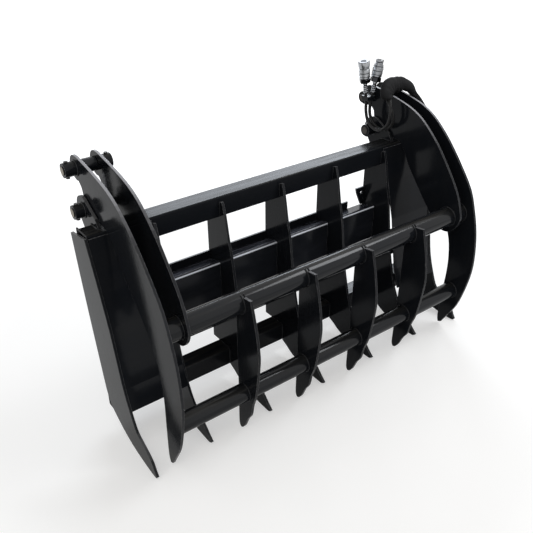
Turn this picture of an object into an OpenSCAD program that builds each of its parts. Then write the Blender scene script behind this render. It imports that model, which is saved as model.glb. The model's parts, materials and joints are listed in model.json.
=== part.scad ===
// Grapple rake for a loader: a welded frame of curved tines, and a tined jaw that two
// hydraulic cylinders swing open and shut. Everything is in millimetres, +Z up.
// X runs along the beams, and the tine tips point towards -Y.
// Origin: the middle of the hitch plate's rear face.

/* [Frame] */
// Distance between neighbouring frame tines
tine_pitch = 350; // [345:1:356]
// Number of plain tines between the two side plates
tine_count = 5; // [5:1:5]
// Distance from the middle to the outer face of a side plate
side_x = 1014; // [1008:1:1022]
// Height of the frame from the ground to the top of the top beam
frame_h = 1037; // [1025:1:1050]
// Depth of the frame from the tine tips to the rear edge of the tines
frame_d = 505; // [498:1:512]
// Thickness of the tines and side plates
tine_t = 12.7; // [10:0.1:14]

/* [Beams] */
// Outside width and height of the square beams
beam_w = 101.6; // [98:0.1:105]
// Wall of the square beams
beam_wall = 6.4; // [4:0.1:9]
// Outside corner radius of the square beams
beam_r = 8; // [7:0.5:12]
// Distance from the rear edge of the tines to the rear face of the top beam
beam_back_gap = 15; // [10:1:20]
// Distance from the rear edge of the tines to the rear face of the lower beam
low_beam_back = 51; // [46:1:56]
// Height of the lower beam's underside above the ground
low_beam_z = 86; // [82:1:90]

/* [Guards and front plates] */
// Thickness of the guard panels in front of the cylinders
guard_t = 6.4; // [5:0.1:9]
// Height of the guard panels' lower edge
guard_z = 239; // [230:1:250]
// Distance that a guard panel sits behind the edges of its side plate and tine
guard_inset = 4; // [3:0.5:6]
// Thickness of the front plates between the tines
front_t = 6.4; // [5:0.1:9]
// Distance from the rear edge of the tines to the face of the front plates
front_back = 100; // [94:1:106]
// Height of the front plates' folded top edge
front_top_z = 686; // [680:1:692]
// Drop of the front plates' folded ledge from its front to the hitch plate
ledge_drop = 24; // [20:1:28]
// Height of the front plates' lower edge
front_low_z = 372; // [360:1:384]
// Outside radius of the fold along the front plates' top
front_r = 14; // [11:0.5:17]

/* [Hitch plate] */
// Width of the hitch plate
hitch_w = 1143; // [1130:1:1156]
// Height of the hitch plate
hitch_h = 460; // [452:1:468]
// Thickness of the hitch plate
hitch_t = 9.6; // [8:0.1:12]
// Height of the hitch plate's top edge above the ground
hitch_top_z = 705; // [701:1:709]
// Distance from the hitch plate's top edge down to the origin
origin_drop = 222.5; // [216:0.5:230]
// Length of the top lip, which slopes down to the rear
lip_len = 46; // [40:1:52]
// Relief of the rear face behind the top lip, which keeps the lip clear of the bearing face
lip_relief = 1.5; // [1:0.1:2]
// Length of the lower ledge, which slopes down to the rear
ledge_len = 62; // [56:1:68]
// Distance from the hitch plate's end to the middle of a lock slot
slot_edge = 77.5; // [72:0.5:84]
// Length of a lock slot
slot_l = 62; // [54:1:70]
// Width of a lock slot
slot_w = 30; // [26:1:34]

/* [Hose tab] */
// Width of the hose tab along its top edge
tab_w = 62; // [58:0.5:66]
// Height of the hose tab
tab_h = 105; // [100:1:110]
// Width of the hose tab at its foot
tab_foot = 20; // [17:0.5:23]
// Thickness of the hose tab
tab_t = 9.6; // [8:0.1:11]
// Height of the hose tab's top edge above the ground
tab_z = 773; // [768:1:778]
// Diameter of the hole in the hose tab
tab_hole_d = 16; // [14:0.5:18]

/* [Jaw] */
// Distance from a side plate's outer face in to the centre of an outer arm plate
arm_inset = 102; // [99:0.5:105]
// Clear space between the outer and inner plates of an arm
arm_gap = 79; // [77:0.5:81]
// Thickness of the arm plates and jaw tines
arm_t = 12.7; // [11:0.1:14]
// Number of jaw tines between the arms
jaw_count = 4; // [4:1:4]
// Distance from the frame's rear line back to the jaw pivot
pivot_back = 60; // [57:0.5:63]
// Height of the jaw pivot above the top beam
pivot_up = 38; // [35:0.5:41]
// Distance that the rod pin sits behind the jaw pivot
rod_pin_back = 57; // [55:0.5:59]
// Distance that the rod pin sits above the jaw pivot
rod_pin_up = 169; // [167:0.5:171]
// Radius of the arm plates round the jaw pivot
pivot_lobe_r = 58; // [55:0.5:60]
// Radius of the arm plates round the rod pin
rod_lobe_r = 56; // [52:0.5:60]
// Outside diameter of the jaw's upper tube
up_tube_d = 101.6; // [98:0.1:105]
// Outside diameter of the jaw's lower tube
low_tube_d = 88.9; // [85:0.1:92]
// Wall of the jaw tubes
tube_wall = 6; // [4:0.1:8]
// Height of the jaw's upper tube
up_tube_z = 739; // [735:0.5:743]
// Distance that the upper tube sits in front of the tip line
up_tube_front = 5; // [3:0.5:7]
// Height of the jaw's lower tube
low_tube_z = 260; // [256:0.5:264]
// Distance that the lower tube sits in front of the tip line
low_tube_front = 34; // [32:0.5:36]
// Distance that the jaw's front edge bulges in front of the tip line
jaw_bulge = 145; // [142:0.5:148]

/* [Pivots] */
// Diameter of the pivot pins and rod pins
pin_d = 38.1; // [36:0.1:40]
// Radial clearance between a pin and its bore
pin_fit = 0.08; // [0.04:0.01:0.1]
// Outside diameter of the pin bosses
boss_d = 63.5; // [60:0.1:66]
// Length of an outboard pin boss
boss_out_l = 45; // [42:0.5:48]
// Length of an inboard pin boss
boss_in_l = 62; // [58:0.5:66]
// Length of a rod pin's outboard boss
rod_boss_out_l = 55; // [52:0.5:58]
// Length of a rod pin's inboard boss
rod_boss_in_l = 57; // [54:0.5:60]
// Distance from a boss's end to its retaining bolt
bolt_inset = 18; // [16:0.5:20]
// Distance that a pin stands out of each boss
pin_proud = 4; // [3:0.5:5]
// Thickness of the pivot brackets
bracket_t = 12.7; // [11:0.1:14]
// Running gap between an arm plate and the bracket beside it
bracket_gap = 4; // [3:0.5:5]
// Radius of the brackets round the jaw pivot
bracket_r = 64; // [60:0.5:68]
// Diameter of the retaining bolts through the bosses
bolt_d = 10; // [8:0.5:12]

/* [Cylinders] */
// Height of a cylinder's base pin
base_z = 345; // [342:0.5:348]
// Distance that a cylinder's base pin sits in front of the jaw pivot
base_front = 25; // [23:0.5:27]
// Outside diameter of a cylinder barrel
barrel_d = 70; // [66:0.5:70.5]
// Wall of a cylinder barrel
barrel_wall = 6.3; // [5:0.1:8]
// Diameter of a piston rod
rod_d = 32; // [30:0.5:34]
// Length of rod that shows when the jaw is shut
rod_out = 306; // [296:1:316]
// Length of rod that stays inside the barrel when the jaw is shut
rod_in = 150; // [140:1:160]
// Outside diameter of a rod eye
eye_d = 63.5; // [60:0.5:67]
// Outside diameter of a base eye
base_eye_d = 78; // [74:0.5:80]
// Width of a base eye
base_eye_w = 38; // [34:0.5:42]
// Diameter of a cylinder's base pin
base_pin_d = 31.8; // [30:0.1:33]
// Play round the base pin, which lets the rigid barrel follow the jaw's arc
base_play = 8.6; // [8.2:0.1:9]
// Distance from the frame's rear line forward to the base lugs' plate
lug_plate_in = 86; // [81:1:91]
// Thickness of a base lug
lug_t = 12.7; // [10:0.1:15]
// Radius of the base lugs round the base pin
lug_r = 36; // [34:0.5:38]
// Distance from the base pin to the closed end of the barrel
base_neck = 66; // [64:0.5:70]

/* [Hydraulic hoses] */
// Outside diameter of a hose
hose_d = 17; // [16.5:0.1:17.4]
// Outside diameter of the woven sleeve over the arm
sleeve_d = 50; // [49:0.5:51]
// Wall of the woven sleeve
sleeve_wall = 2.5; // [2:0.1:3]
// Diameter of a coupler's body
coupler_d = 54; // [50:0.5:56]
// Diameter of a coupler's crimped stem
stem_d = 20; // [19:0.5:21]
// Length of a coupler's crimped stem
stem_l = 58; // [54:1:60]
// Length of a coupler's hexagon
hex_l = 24; // [22:1:26]
// Length of a coupler's body
body_l = 66; // [62:1:70]
// Length of a coupler's nose
nose_l = 26; // [24:1:28]
// Depth of the socket in a coupler's nose
socket_l = 12; // [10:1:14]
// Diameter of an elbow on the arm
elbow_d = 20; // [19:0.5:22]
// Drop of an elbow from the hose's end to its middle
elbow_drop = 22; // [18:1:26]
// Thickness of the clamp that holds both hoses to the rod pin's boss
clamp_t = 22; // [20:1:24]
// Clearance between a hose and the clamp round it
clamp_fit = 0.3; // [0.2:0.05:0.4]

/* [Hidden] */
$fn = 48;

paint = [0.05, 0.05, 0.06];
steel = [0.75, 0.76, 0.78];
zinc = [0.55, 0.56, 0.6];
rubber = [0.06, 0.06, 0.06];

// The ground line below the tine tips, seen from the origin
tip_y = -(frame_d + hitch_t);
ground_z = -(hitch_top_z - origin_drop);
// Overrun of every cut past the faces that it goes through
over = 2;

top_beam_y = frame_d - beam_back_gap - beam_w;
top_beam_z = frame_h - beam_w;
low_beam_y = frame_d - low_beam_back - beam_w;
side_in = side_x - tine_t;
tine_1_x = (tine_count - 1) / 2 * tine_pitch;
tine_1_face = tine_1_x + tine_t / 2;
arm_x = side_x - arm_inset;
arm_in_x = arm_x - arm_gap - arm_t;
pivot_y = frame_d + pivot_back;
pivot_z = frame_h + pivot_up;
slot_pitch = hitch_w - 2 * slot_edge;
lug_plate_y = frame_d - lug_plate_in;
arm_out_face = arm_x + arm_t / 2;
arm_in_face = arm_in_x - arm_t / 2;
bracket_out_x = arm_out_face + bracket_gap + bracket_t / 2;
bracket_in_x = arm_in_face - bracket_gap - bracket_t / 2;
cyl_x = (arm_x + arm_in_x) / 2;
rod_pin_y = pivot_y + rod_pin_back;
rod_pin_z = pivot_z + rod_pin_up;
base_y = pivot_y - base_front;
cyl_len = norm([rod_pin_y - base_y, rod_pin_z - base_z]);
cyl_lean = atan2(rod_pin_y - base_y, rod_pin_z - base_z);
gland_l = 34 / 76 * barrel_d;
pin_bore_r = pin_d / 2 + pin_fit;
up_tube_y = -up_tube_front;
low_tube_y = -low_tube_front;

// Front edge of a frame tine from the tip up, as shares of the frame's depth and height
tine_front_shares = [
    [0.06, 0.038], [0.139, 0.077], [0.285, 0.14], [0.382, 0.222], [0.455, 0.328],
    [0.519, 0.453], [0.554, 0.557], [0.606, 0.723], [0.646, 0.796], [0.693, 0.916], [0.733, 0.98],
];
// Underside of a frame tine from the lower beam to the tip
tine_under_shares = [[0.62, 0.064], [0.552, 0.044], [0.42, 0.02], [0.255, 0.003], [0.1, 0], [0.035, 0]];
// Front edge of a side plate from the tip up
side_front_shares = [
    [-0.03, 0.03], [0.024, 0.075], [0.13, 0.108], [0.257, 0.145], [0.33, 0.21], [0.42, 0.333],
    [0.475, 0.472], [0.533, 0.624], [0.648, 0.82], [0.764, 0.994],
];
// Rear and lower edge of a side plate from the top down to the tip
side_rear_shares = [
    [1.067, 0.968], [1.0, 0.68], [0.9, 0.33], [0.83, 0.15], [0.66, 0.075], [0.4, 0.02],
    [0.1, 0], [-0.03, 0], [-0.06, 0.01],
];
// Guard panel's front line from the top beam down, on the side plate's front edge
guard_line_shares = [[0.764, 0.994], [0.648, 0.82], [0.533, 0.624], [0.475, 0.472], [0.42, 0.333]];
guard_foot_share = 0.345;
// Front edge of an arm from the rod pin down, as shares of the jaw pivot's place
arm_front_shares = [
    [1.07, 1.2105], [0.95, 1.2], [0.84, 1.1895], [0.7, 1.1735], [0.566, 1.153], [0.442, 1.121],
    [0.327, 1.0745], [0.204, 1.013], [0.05, 0.92], [-0.092, 0.82], [-0.168, 0.721], [-0.225, 0.616],
    [-0.255, 0.503], [-0.257, 0.395], [-0.216, 0.27], [-0.156, 0.161], [-0.071, 0.076],
    [-0.012, 0.019],
];
// Rear edge of an arm from the tip up to the jaw pivot
arm_rear_shares = [
    [0.022, 0.012], [0.037, 0.05], [0.034, 0.13], [0.024, 0.247], [0.016, 0.323], [0.018, 0.407],
    [0.042, 0.497], [0.085, 0.565], [0.16, 0.635], [0.27, 0.71], [0.4, 0.79], [0.52, 0.868],
    [0.6, 0.935], [0.66, 0.972], [0.75, 0.982], [0.84, 0.985], [0.92, 0.972],
];
// Lower front and lower end of an inner arm plate, round to its rear edge
inner_end_shares = [
    [0.06, 0.92], [-0.072, 0.82], [-0.14, 0.728], [-0.148, 0.69], [-0.118, 0.648],
    [-0.055, 0.614], [0.02, 0.604], [0.09, 0.614], [0.16, 0.65],
];
// Waist of an arm between the rod pin and the jaw pivot, on its rear side
waist_shares = [[1.073, 1.105], [1.036, 1.085], [1.02, 1.052]];
// Front edge of a jaw tine from the top down, as shares of the bulge and the upper tube's height
jaw_front_shares = [
    [-0.634, 1.066], [-0.8, 0.94], [-0.883, 0.866], [-0.952, 0.785], [-1, 0.696], [-0.966, 0.609],
    [-0.897, 0.5], [-0.793, 0.379], [-0.634, 0.287], [-0.538, 0.196], [-0.345, 0.133],
    [-0.18, 0.057], [-0.05, 0.02],
];
// Rear edge of a jaw tine from the tip up
jaw_rear_shares = [[0.05, 0.012], [0.13, 0.045], [0.125, 0.18], [0.105, 0.4], [0.1, 0.72], [0.1, 0.9]];

// Hose routes, from the coupler to the elbow on the arm, chosen by hand
hose_a_route = [
    [728, 60, 801], [733, 60, 773], [738, 60, 745], [739, 60, 715], [740, 55, 684],
    [740, 42, 654], [740, 18, 631], [740, -13, 618], [740, -46, 619], [741, -77, 632],
    [742, -101, 656], [744, -112, 688], [748, -113, 721], [753, -105, 755], [760, -92, 788],
    [770, -77, 817], [788, -63, 839], [813, -54, 853], [840, -50, 858], [867, -53, 854],
    [892, -64, 842], [912, -82, 822], [928, -106, 797], [939, -133, 769], [946, -161, 738],
    [949, -189, 705], [950, -213, 670], [950, -232, 634], [950, -243, 604], [950, -246, 580],
    [950, -246, 560], [950, -246, 540],
];
hose_b_route = [
    [768, 46, 798], [762, 46, 770], [756, 46, 742], [756, 47, 714], [760, 47, 684],
    [766, 38, 653], [771, 17, 628], [775, -13, 614], [777, -46, 613], [778, -78, 626],
    [778, -102, 650], [777, -112, 683], [774, -107, 717], [768, -92, 750], [761, -74, 782],
    [768, -57, 813], [785, -43, 835], [810, -34, 850], [838, -30, 856], [867, -33, 852],
    [893, -44, 840], [914, -62, 820], [931, -86, 789], [941, -114, 760], [947, -143, 730],
    [950, -170, 697], [950, -193, 661], [950, -210, 626], [950, -219, 594], [950, -222, 570],
    [950, -222, 550], [950, -222, 530],
];
// Route of the woven sleeve that holds both hoses over the arm
sleeve_route = [
    [761, -82, 788], [769, -67, 815], [787, -53, 837], [811, -44, 851], [839, -40, 857],
    [867, -43, 853], [886, -51, 845],
];

function spline_point(a, b, c, d, t) =
    0.5 * (2 * b + (c - a) * t + (2 * a - 5 * b + 4 * c - d) * t * t
    + (3 * b - a - 3 * c + d) * t * t * t);

function smooth(points, steps = 3) = concat(
    [for (i = [0 : len(points) - 2], s = [0 : steps - 1])
        spline_point(points[max(i - 1, 0)], points[i], points[i + 1],
            points[min(i + 2, len(points) - 1)], s / steps)],
    [points[len(points) - 1]]);

function sized(shares, y_size, z_size) = [for (p = shares) [p[0] * y_size, p[1] * z_size]];

// A plate that stands across X: its outline holds [y, z] points from the tip line and the ground
module upright(x, thickness) {
    translate([x - thickness / 2, tip_y, ground_z])
        rotate([90, 0, 90])
            linear_extrude(thickness)
                children();
}

// A round bar or bore along X through the point [y, z] from the tip line and the ground
module along_x(x_from, x_to, y, z, r) {
    translate([min(x_from, x_to), tip_y + y, ground_z + z])
        rotate([0, 90, 0])
            cylinder(h = abs(x_to - x_from), r = r);
}

module square_tube_outline(w, r, wall) {
    difference() {
        translate([r, r])
            rounded_square(w, r);
        translate([r, r])
            rounded_square(w, r, wall);
    }
}

// A square with round corners, set in from its outside by a wall
module rounded_square(w, r, wall = 0) {
    inner_r = r - wall > 0 ? r - wall : 0;
    side = w - 2 * wall;
    translate([wall - r, wall - r]) {
        translate([inner_r, 0])
            square([side - 2 * inner_r, side]);
        translate([0, inner_r])
            square([side, side - 2 * inner_r]);
        for (y = [inner_r, side - inner_r], z = [inner_r, side - inner_r])
            translate([y, z])
                circle(r = inner_r);
    }
}

module square_beam(y, z) {
    translate([-side_in, tip_y + y, ground_z + z])
        rotate([90, 0, 90])
            linear_extrude(2 * side_in)
                square_tube_outline(beam_w, beam_r, beam_wall);
}

module beam_space(y, z) {
    translate([y, z])
        square([beam_w, beam_w]);
}

module top_beam() {
    color(paint)
        square_beam(top_beam_y, top_beam_z);
}

module lower_beam() {
    color(paint)
        square_beam(low_beam_y, low_beam_z);
}

// Each tine hooks over the front of the top beam and wraps the top and front of the lower beam
module tine_outline() {
    nose_z = frame_h * 0.975;
    difference() {
        polygon(concat(
            smooth(sized(tine_front_shares, frame_d, frame_h)),
            [[top_beam_y + over, nose_z], [top_beam_y + over, top_beam_z], [frame_d, top_beam_z],
                [frame_d, low_beam_z + beam_w], [low_beam_y + beam_w, low_beam_z + beam_w],
                [low_beam_y + over, low_beam_z + beam_w], [low_beam_y + over, low_beam_z]],
            smooth(sized(tine_under_shares, frame_d, frame_h)),
            [[0, frame_h * 0.012]]));
        beam_space(top_beam_y, top_beam_z);
        beam_space(low_beam_y, low_beam_z);
    }
}

module frame_tine(i) {
    color(paint)
        upright((i - (tine_count + 1) / 2) * tine_pitch, tine_t)
            tine_outline();
}

module side_plate(side) {
    color(paint)
        upright(side * (side_x - tine_t / 2), tine_t)
            polygon(concat(
                smooth(sized(side_front_shares, frame_d, frame_h)),
                smooth(sized(side_rear_shares, frame_d, frame_h))));
}

// A folded panel just behind the front edges of a side plate and its neighbour tine
module guard(side) {
    line = sized(guard_line_shares, frame_d, frame_h);
    foot = [guard_foot_share * frame_d, guard_z];
    front = [for (p = concat(line, [foot])) [p[0] + guard_inset, p[1]]];
    back = [for (i = [len(front) - 1 : -1 : 0]) [front[i][0] + guard_t, front[i][1]]];
    top = [[top_beam_y, front[0][1]], [top_beam_y, front[0][1] - guard_t]];
    width = side_in - tine_1_face;
    color(paint)
        difference() {
            upright(side * (tine_1_face + width / 2), width)
                polygon(concat(front, back));
            upright(side * (tine_1_face + width / 2), width + over)
                beam_space(top_beam_y, top_beam_z);
        }
}

// One bay of the front plate: an upright face with its top folded back to the hitch plate
module front_plate(i) {
    width = tine_pitch - tine_t;
    face_y = frame_d - front_back;
    bend = [for (a = [180 : -15 : 90])
        [face_y + front_r + front_r * cos(a), front_top_z - front_r + front_r * sin(a)]];
    inner_bend = [for (a = [90 : 15 : 180])
        [face_y + front_r + (front_r - front_t) * cos(a),
            front_top_z - front_r + (front_r - front_t) * sin(a)]];
    color(paint)
        upright((i - tine_count / 2) * tine_pitch, width)
            polygon(concat(
                [[face_y, front_low_z]],
                bend,
                [[frame_d, front_top_z - ledge_drop], [frame_d, front_top_z - ledge_drop - front_t]],
                inner_bend,
                [[face_y + front_t, front_low_z]]));
}

// The hitch plate: a flat plate, a top lip that hooks over the loader's coupler,
// and a lower ledge with a slot for each lock pin
module hitch_plate() {
    low_z = hitch_top_z - hitch_h;
    rear_y = frame_d + hitch_t;
    lip = lip_len * cos(45);
    ledge_y = ledge_len * cos(30);
    ledge_z = ledge_len * sin(30);
    color(paint)
        difference() {
            upright(0, hitch_w)
                polygon([
                    [frame_d, low_z], [frame_d, hitch_top_z], [rear_y, hitch_top_z],
                    [rear_y + lip, hitch_top_z - lip],
                    [rear_y + lip - hitch_t * cos(45), hitch_top_z - lip - hitch_t * cos(45)],
                    [rear_y - lip_relief, hitch_top_z - 2 * hitch_t * cos(45) - lip_relief],
                    [rear_y, hitch_top_z - lip - hitch_t],
                    [rear_y, low_z],
                    [rear_y + ledge_y, low_z - ledge_z],
                    [rear_y + ledge_y - hitch_t * sin(30), low_z - ledge_z - hitch_t * cos(30)],
                    [frame_d, low_z - hitch_t * cos(30)]]);
            for (side = [-1, 1])
                translate([side * slot_pitch / 2, tip_y + rear_y + ledge_y * 0.55,
                        ground_z + low_z - ledge_z])
                    lock_slot();
        }
}

module lock_slot() {
    reach = ledge_len + 2 * hitch_t;
    translate([0, 0, -reach / 2]) {
        translate([-(slot_l - slot_w) / 2, -slot_w / 2, 0])
            cube([slot_l - slot_w, slot_w, reach]);
        for (end = [-1, 1])
            translate([end * (slot_l - slot_w) / 2, 0, 0])
                cylinder(h = reach, d = slot_w);
    }
}

// An upright rib that closes each end of the hitch plate's top lip
module hitch_rib(side) {
    rear_y = frame_d + hitch_t;
    lip = lip_len * cos(45);
    drop = lip_len * 2.4;
    color(paint)
        upright(side * (hitch_w / 2 + hitch_t / 2), hitch_t)
            polygon([
                [frame_d, hitch_top_z - drop], [frame_d, hitch_top_z], [rear_y, hitch_top_z],
                [rear_y + lip, hitch_top_z - lip], [rear_y, hitch_top_z - drop]]);
}

// A small tapered tab with a round hole, welded beside the rear edge of the last tine
module hose_bracket() {
    inner_x = tine_1_x - tine_t / 2;
    color(paint)
        translate([inner_x, -hitch_t, ground_z + tab_z])
            rotate([90, 0, 0])
                linear_extrude(tab_t)
                    difference() {
                        polygon([
                            [0, 0], [-tab_w, 0], [-tab_w + tab_w / 8, -tab_h * 0.3],
                            [-tab_foot, -tab_h], [0, -tab_h]]);
                        translate([-tab_w * 0.3, -tab_h * 0.31])
                            circle(d = tab_hole_d);
                    }
}

// A bracket sits on the top beam and runs down its rear face; its round end holds the jaw pivot
module bracket_outline() {
    beam_top = frame_h;
    beam_rear = top_beam_y + beam_w;
    difference() {
        union() {
            translate([pivot_y, pivot_z])
                circle(r = bracket_r);
            polygon([
                [top_beam_y + beam_w * 0.3, beam_top],
                [top_beam_y + beam_w * 0.55, beam_top + bracket_r * 0.62],
                [pivot_y - bracket_r * 0.62, pivot_z + bracket_r * 0.785],
                [pivot_y, pivot_z], [pivot_y + bracket_r * 0.94, pivot_z - bracket_r * 0.34],
                [beam_rear + beam_w * 0.5, top_beam_z - beam_w * 0.1],
                [beam_rear + beam_w * 0.3, top_beam_z - beam_w * 0.35],
                [beam_rear, top_beam_z - beam_w * 0.35], [beam_rear, beam_top]]);
        }
        beam_space(top_beam_y, top_beam_z);
    }
}

module bracket(side, x, out) {
    face = x + out * bracket_t / 2;
    tip = face + out * (out > 0 ? boss_out_l : boss_in_l);
    color(paint)
        difference() {
            union() {
                upright(side * x, bracket_t)
                    bracket_outline();
                along_x(side * face, side * tip, pivot_y, pivot_z, boss_d / 2);
            }
            along_x(side * (x - out * (bracket_t + over)), side * (tip + out * over),
                pivot_y, pivot_z, pin_bore_r);
            boss_bolt_bore(side * (tip - out * bolt_inset), pivot_y, pivot_z);
        }
}

// The bore for the bolt that locks a pin in its boss
module boss_bolt_bore(x, y, z) {
    translate([x, tip_y + y, ground_z + z - boss_d])
        cylinder(h = 2 * boss_d, d = bolt_d);
}

// A retaining bolt with its head above the boss and its nut below
module boss_bolt(x, y, z) {
    head_h = bolt_d * 0.65;
    translate([x, tip_y + y, ground_z + z]) {
        translate([0, 0, -boss_d / 2 - head_h])
            cylinder(h = boss_d + 2 * head_h, d = bolt_d);
        for (end = [-1, 1])
            translate([0, 0, end * (boss_d / 2 + head_h / 2) - head_h / 2])
                cylinder(h = head_h, d = bolt_d * 1.9, $fn = 6);
    }
}

bracket_out_tip = bracket_out_x + bracket_t / 2 + boss_out_l;
bracket_in_tip = bracket_in_x - bracket_t / 2 - boss_in_l;

module pivot_pin(side) {
    color(zinc)
        difference() {
            along_x(side * (bracket_in_tip - pin_proud), side * (bracket_out_tip + pin_proud),
                pivot_y, pivot_z, pin_d / 2);
            for (x = [bracket_out_tip - bolt_inset, bracket_in_tip + bolt_inset])
                boss_bolt_bore(side * x, pivot_y, pivot_z);
        }
}

module pivot_bolts() {
    color(zinc)
        for (side = [-1, 1], x = [bracket_out_tip - bolt_inset, bracket_in_tip + bolt_inset])
            boss_bolt(side * x, pivot_y, pivot_z);
}

// The plate between a side plate and the first tine that carries the cylinder's base lugs
module cylinder_mount(side) {
    width = side_in - tine_1_face;
    plate_y = lug_plate_y;
    plate_h = 3 * lug_r;
    lug_gap = base_eye_w + 2 * bracket_gap;
    color(paint)
        difference() {
            union() {
                upright(side * (tine_1_face + width / 2), width)
                    translate([plate_y, base_z - plate_h / 2])
                        square([lug_t, plate_h]);
                for (end = [-1, 1])
                    upright(side * cyl_x + end * (lug_gap + lug_t) / 2, lug_t) {
                        translate([base_y, base_z])
                            circle(r = lug_r);
                        polygon([
                            [plate_y + lug_t, base_z - plate_h / 2], [plate_y + lug_t, base_z + lug_r],
                            [base_y, base_z + lug_r], [base_y, base_z - lug_r]]);
                    }
            }
            along_x(side * (cyl_x - lug_gap - lug_t), side * (cyl_x + lug_gap + lug_t),
                base_y, base_z, base_pin_d / 2 + pin_fit);
        }
}

module base_pin(side) {
    half = base_eye_w / 2 + bracket_gap + lug_t + pin_proud;
    head_t = pin_proud * 0.8;
    color(zinc) {
        along_x(side * (cyl_x - half), side * (cyl_x + half), base_y, base_z, base_pin_d / 2);
        along_x(side * (cyl_x + half), side * (cyl_x + half + head_t), base_y, base_z, base_pin_d * 0.7);
    }
}

module arm_lobes() {
    translate([pivot_y, pivot_z])
        circle(r = pivot_lobe_r);
    translate([rod_pin_y, rod_pin_z])
        circle(r = rod_lobe_r);
}

module outer_arm_outline() {
    arm_lobes();
    polygon(concat(
        smooth(sized(arm_front_shares, pivot_y, pivot_z)),
        smooth(sized(arm_rear_shares, pivot_y, pivot_z)),
        [[pivot_y, pivot_z - pivot_lobe_r], [pivot_y, pivot_z]],
        smooth(sized([for (i = [2 : -1 : 0]) waist_shares[i]], pivot_y, pivot_z)),
        [[rod_pin_y, rod_pin_z]]));
}

// An inner plate has the outer one's shape down to just below the upper tube
module inner_arm_outline() {
    front = sized([for (i = [0 : 7]) arm_front_shares[i]], pivot_y, pivot_z);
    rear = sized([for (i = [9 : len(arm_rear_shares) - 1]) arm_rear_shares[i]], pivot_y, pivot_z);
    arm_lobes();
    polygon(concat(
        smooth(concat(front, sized(inner_end_shares, pivot_y, pivot_z), rear)),
        [[pivot_y, pivot_z - pivot_lobe_r], [pivot_y, pivot_z]],
        smooth(sized([for (i = [2 : -1 : 0]) waist_shares[i]], pivot_y, pivot_z)),
        [[rod_pin_y, rod_pin_z]]));
}

// The rod pin's boss on the outer face of each arm plate
rod_boss_out_tip = arm_out_face + rod_boss_out_l;
rod_boss_in_tip = arm_in_face - rod_boss_in_l;

module arm_outer(side) {
    color(paint)
        difference() {
            union() {
                upright(side * arm_x, arm_t)
                    outer_arm_outline();
                along_x(side * arm_out_face, side * rod_boss_out_tip, rod_pin_y, rod_pin_z, boss_d / 2);
            }
            along_x(side * (arm_x - arm_t), side * (rod_boss_out_tip + over),
                rod_pin_y, rod_pin_z, pin_bore_r);
            along_x(side * (arm_x - arm_t), side * (arm_x + arm_t), pivot_y, pivot_z, boss_d / 2);
            boss_bolt_bore(side * (rod_boss_out_tip - bolt_inset), rod_pin_y, rod_pin_z);
        }
}

module arm_inner(side) {
    color(paint)
        difference() {
            union() {
                upright(side * arm_in_x, arm_t)
                    inner_arm_outline();
                along_x(side * arm_in_face, side * rod_boss_in_tip, rod_pin_y, rod_pin_z, boss_d / 2);
            }
            along_x(side * (arm_in_x + arm_t), side * (rod_boss_in_tip - over),
                rod_pin_y, rod_pin_z, pin_bore_r);
            along_x(side * (arm_in_x - arm_t), side * (arm_in_x + arm_t), pivot_y, pivot_z, boss_d / 2);
            along_x(side * (arm_in_x - arm_t), side * (arm_in_x + arm_t),
                up_tube_y, up_tube_z, up_tube_d / 2);
            boss_bolt_bore(side * (rod_boss_in_tip + bolt_inset), rod_pin_y, rod_pin_z);
        }
}

// The jaw's own bushings on the pivot pin, one welded through each arm plate
module pivot_hubs(side) {
    stub = arm_gap * 0.22;
    color(paint)
        for (x = [arm_x, arm_in_x]) {
            inward = x == arm_x ? -1 : 1;
            face = x - inward * arm_t / 2;
            difference() {
                along_x(side * face, side * (x + inward * (arm_t / 2 + stub)), pivot_y, pivot_z, boss_d / 2);
                along_x(side * (face - inward * over), side * (x + inward * (arm_t + stub)),
                    pivot_y, pivot_z, pin_bore_r);
            }
        }
}

module rod_pin(side) {
    color(zinc)
        difference() {
            along_x(side * (rod_boss_in_tip - pin_proud), side * (rod_boss_out_tip + pin_proud),
                rod_pin_y, rod_pin_z, pin_d / 2);
            for (x = [rod_boss_out_tip - bolt_inset, rod_boss_in_tip + bolt_inset])
                boss_bolt_bore(side * x, rod_pin_y, rod_pin_z);
        }
}

module rod_pin_bolts() {
    color(zinc)
        for (side = [-1, 1], x = [rod_boss_out_tip - bolt_inset, rod_boss_in_tip + bolt_inset])
            boss_bolt(side * x, rod_pin_y, rod_pin_z);
}

module jaw_tube(y, z, d) {
    color(paint)
        difference() {
            along_x(-(arm_x - arm_t / 2), arm_x - arm_t / 2, y, z, d / 2);
            along_x(-arm_x, arm_x, y, z, d / 2 - tube_wall);
        }
}

module jaw_upper_tube() {
    jaw_tube(up_tube_y, up_tube_z, up_tube_d);
}

module jaw_lower_tube() {
    jaw_tube(low_tube_y, low_tube_z, low_tube_d);
}

// Each jaw tine hooks over the front of the upper tube, and the lower tube runs through it
module jaw_tine(i) {
    x = (i - (jaw_count + 1) / 2) * tine_pitch;
    hook_z = up_tube_z + up_tube_d * 0.42;
    color(paint)
        difference() {
            upright(x, arm_t)
                polygon(concat(
                    smooth(sized(jaw_front_shares, jaw_bulge, up_tube_z)),
                    smooth(sized(jaw_rear_shares, jaw_bulge, up_tube_z)),
                    [[up_tube_y, up_tube_z], [up_tube_y - up_tube_d * 0.38, hook_z]]));
            along_x(x - arm_t, x + arm_t, up_tube_y, up_tube_z, up_tube_d / 2);
            along_x(x - arm_t, x + arm_t, low_tube_y, low_tube_z, low_tube_d / 2);
        }
}

// A cylinder's own frame: origin at the rod pin, +Z down the rod towards the base
module cylinder_axis(side) {
    translate([side * cyl_x, tip_y + rod_pin_y, ground_z + rod_pin_z])
        rotate([180 - cyl_lean, 0, 0])
            children();
}

eye_w = arm_gap - 2 * 0.02 * arm_gap;

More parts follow.
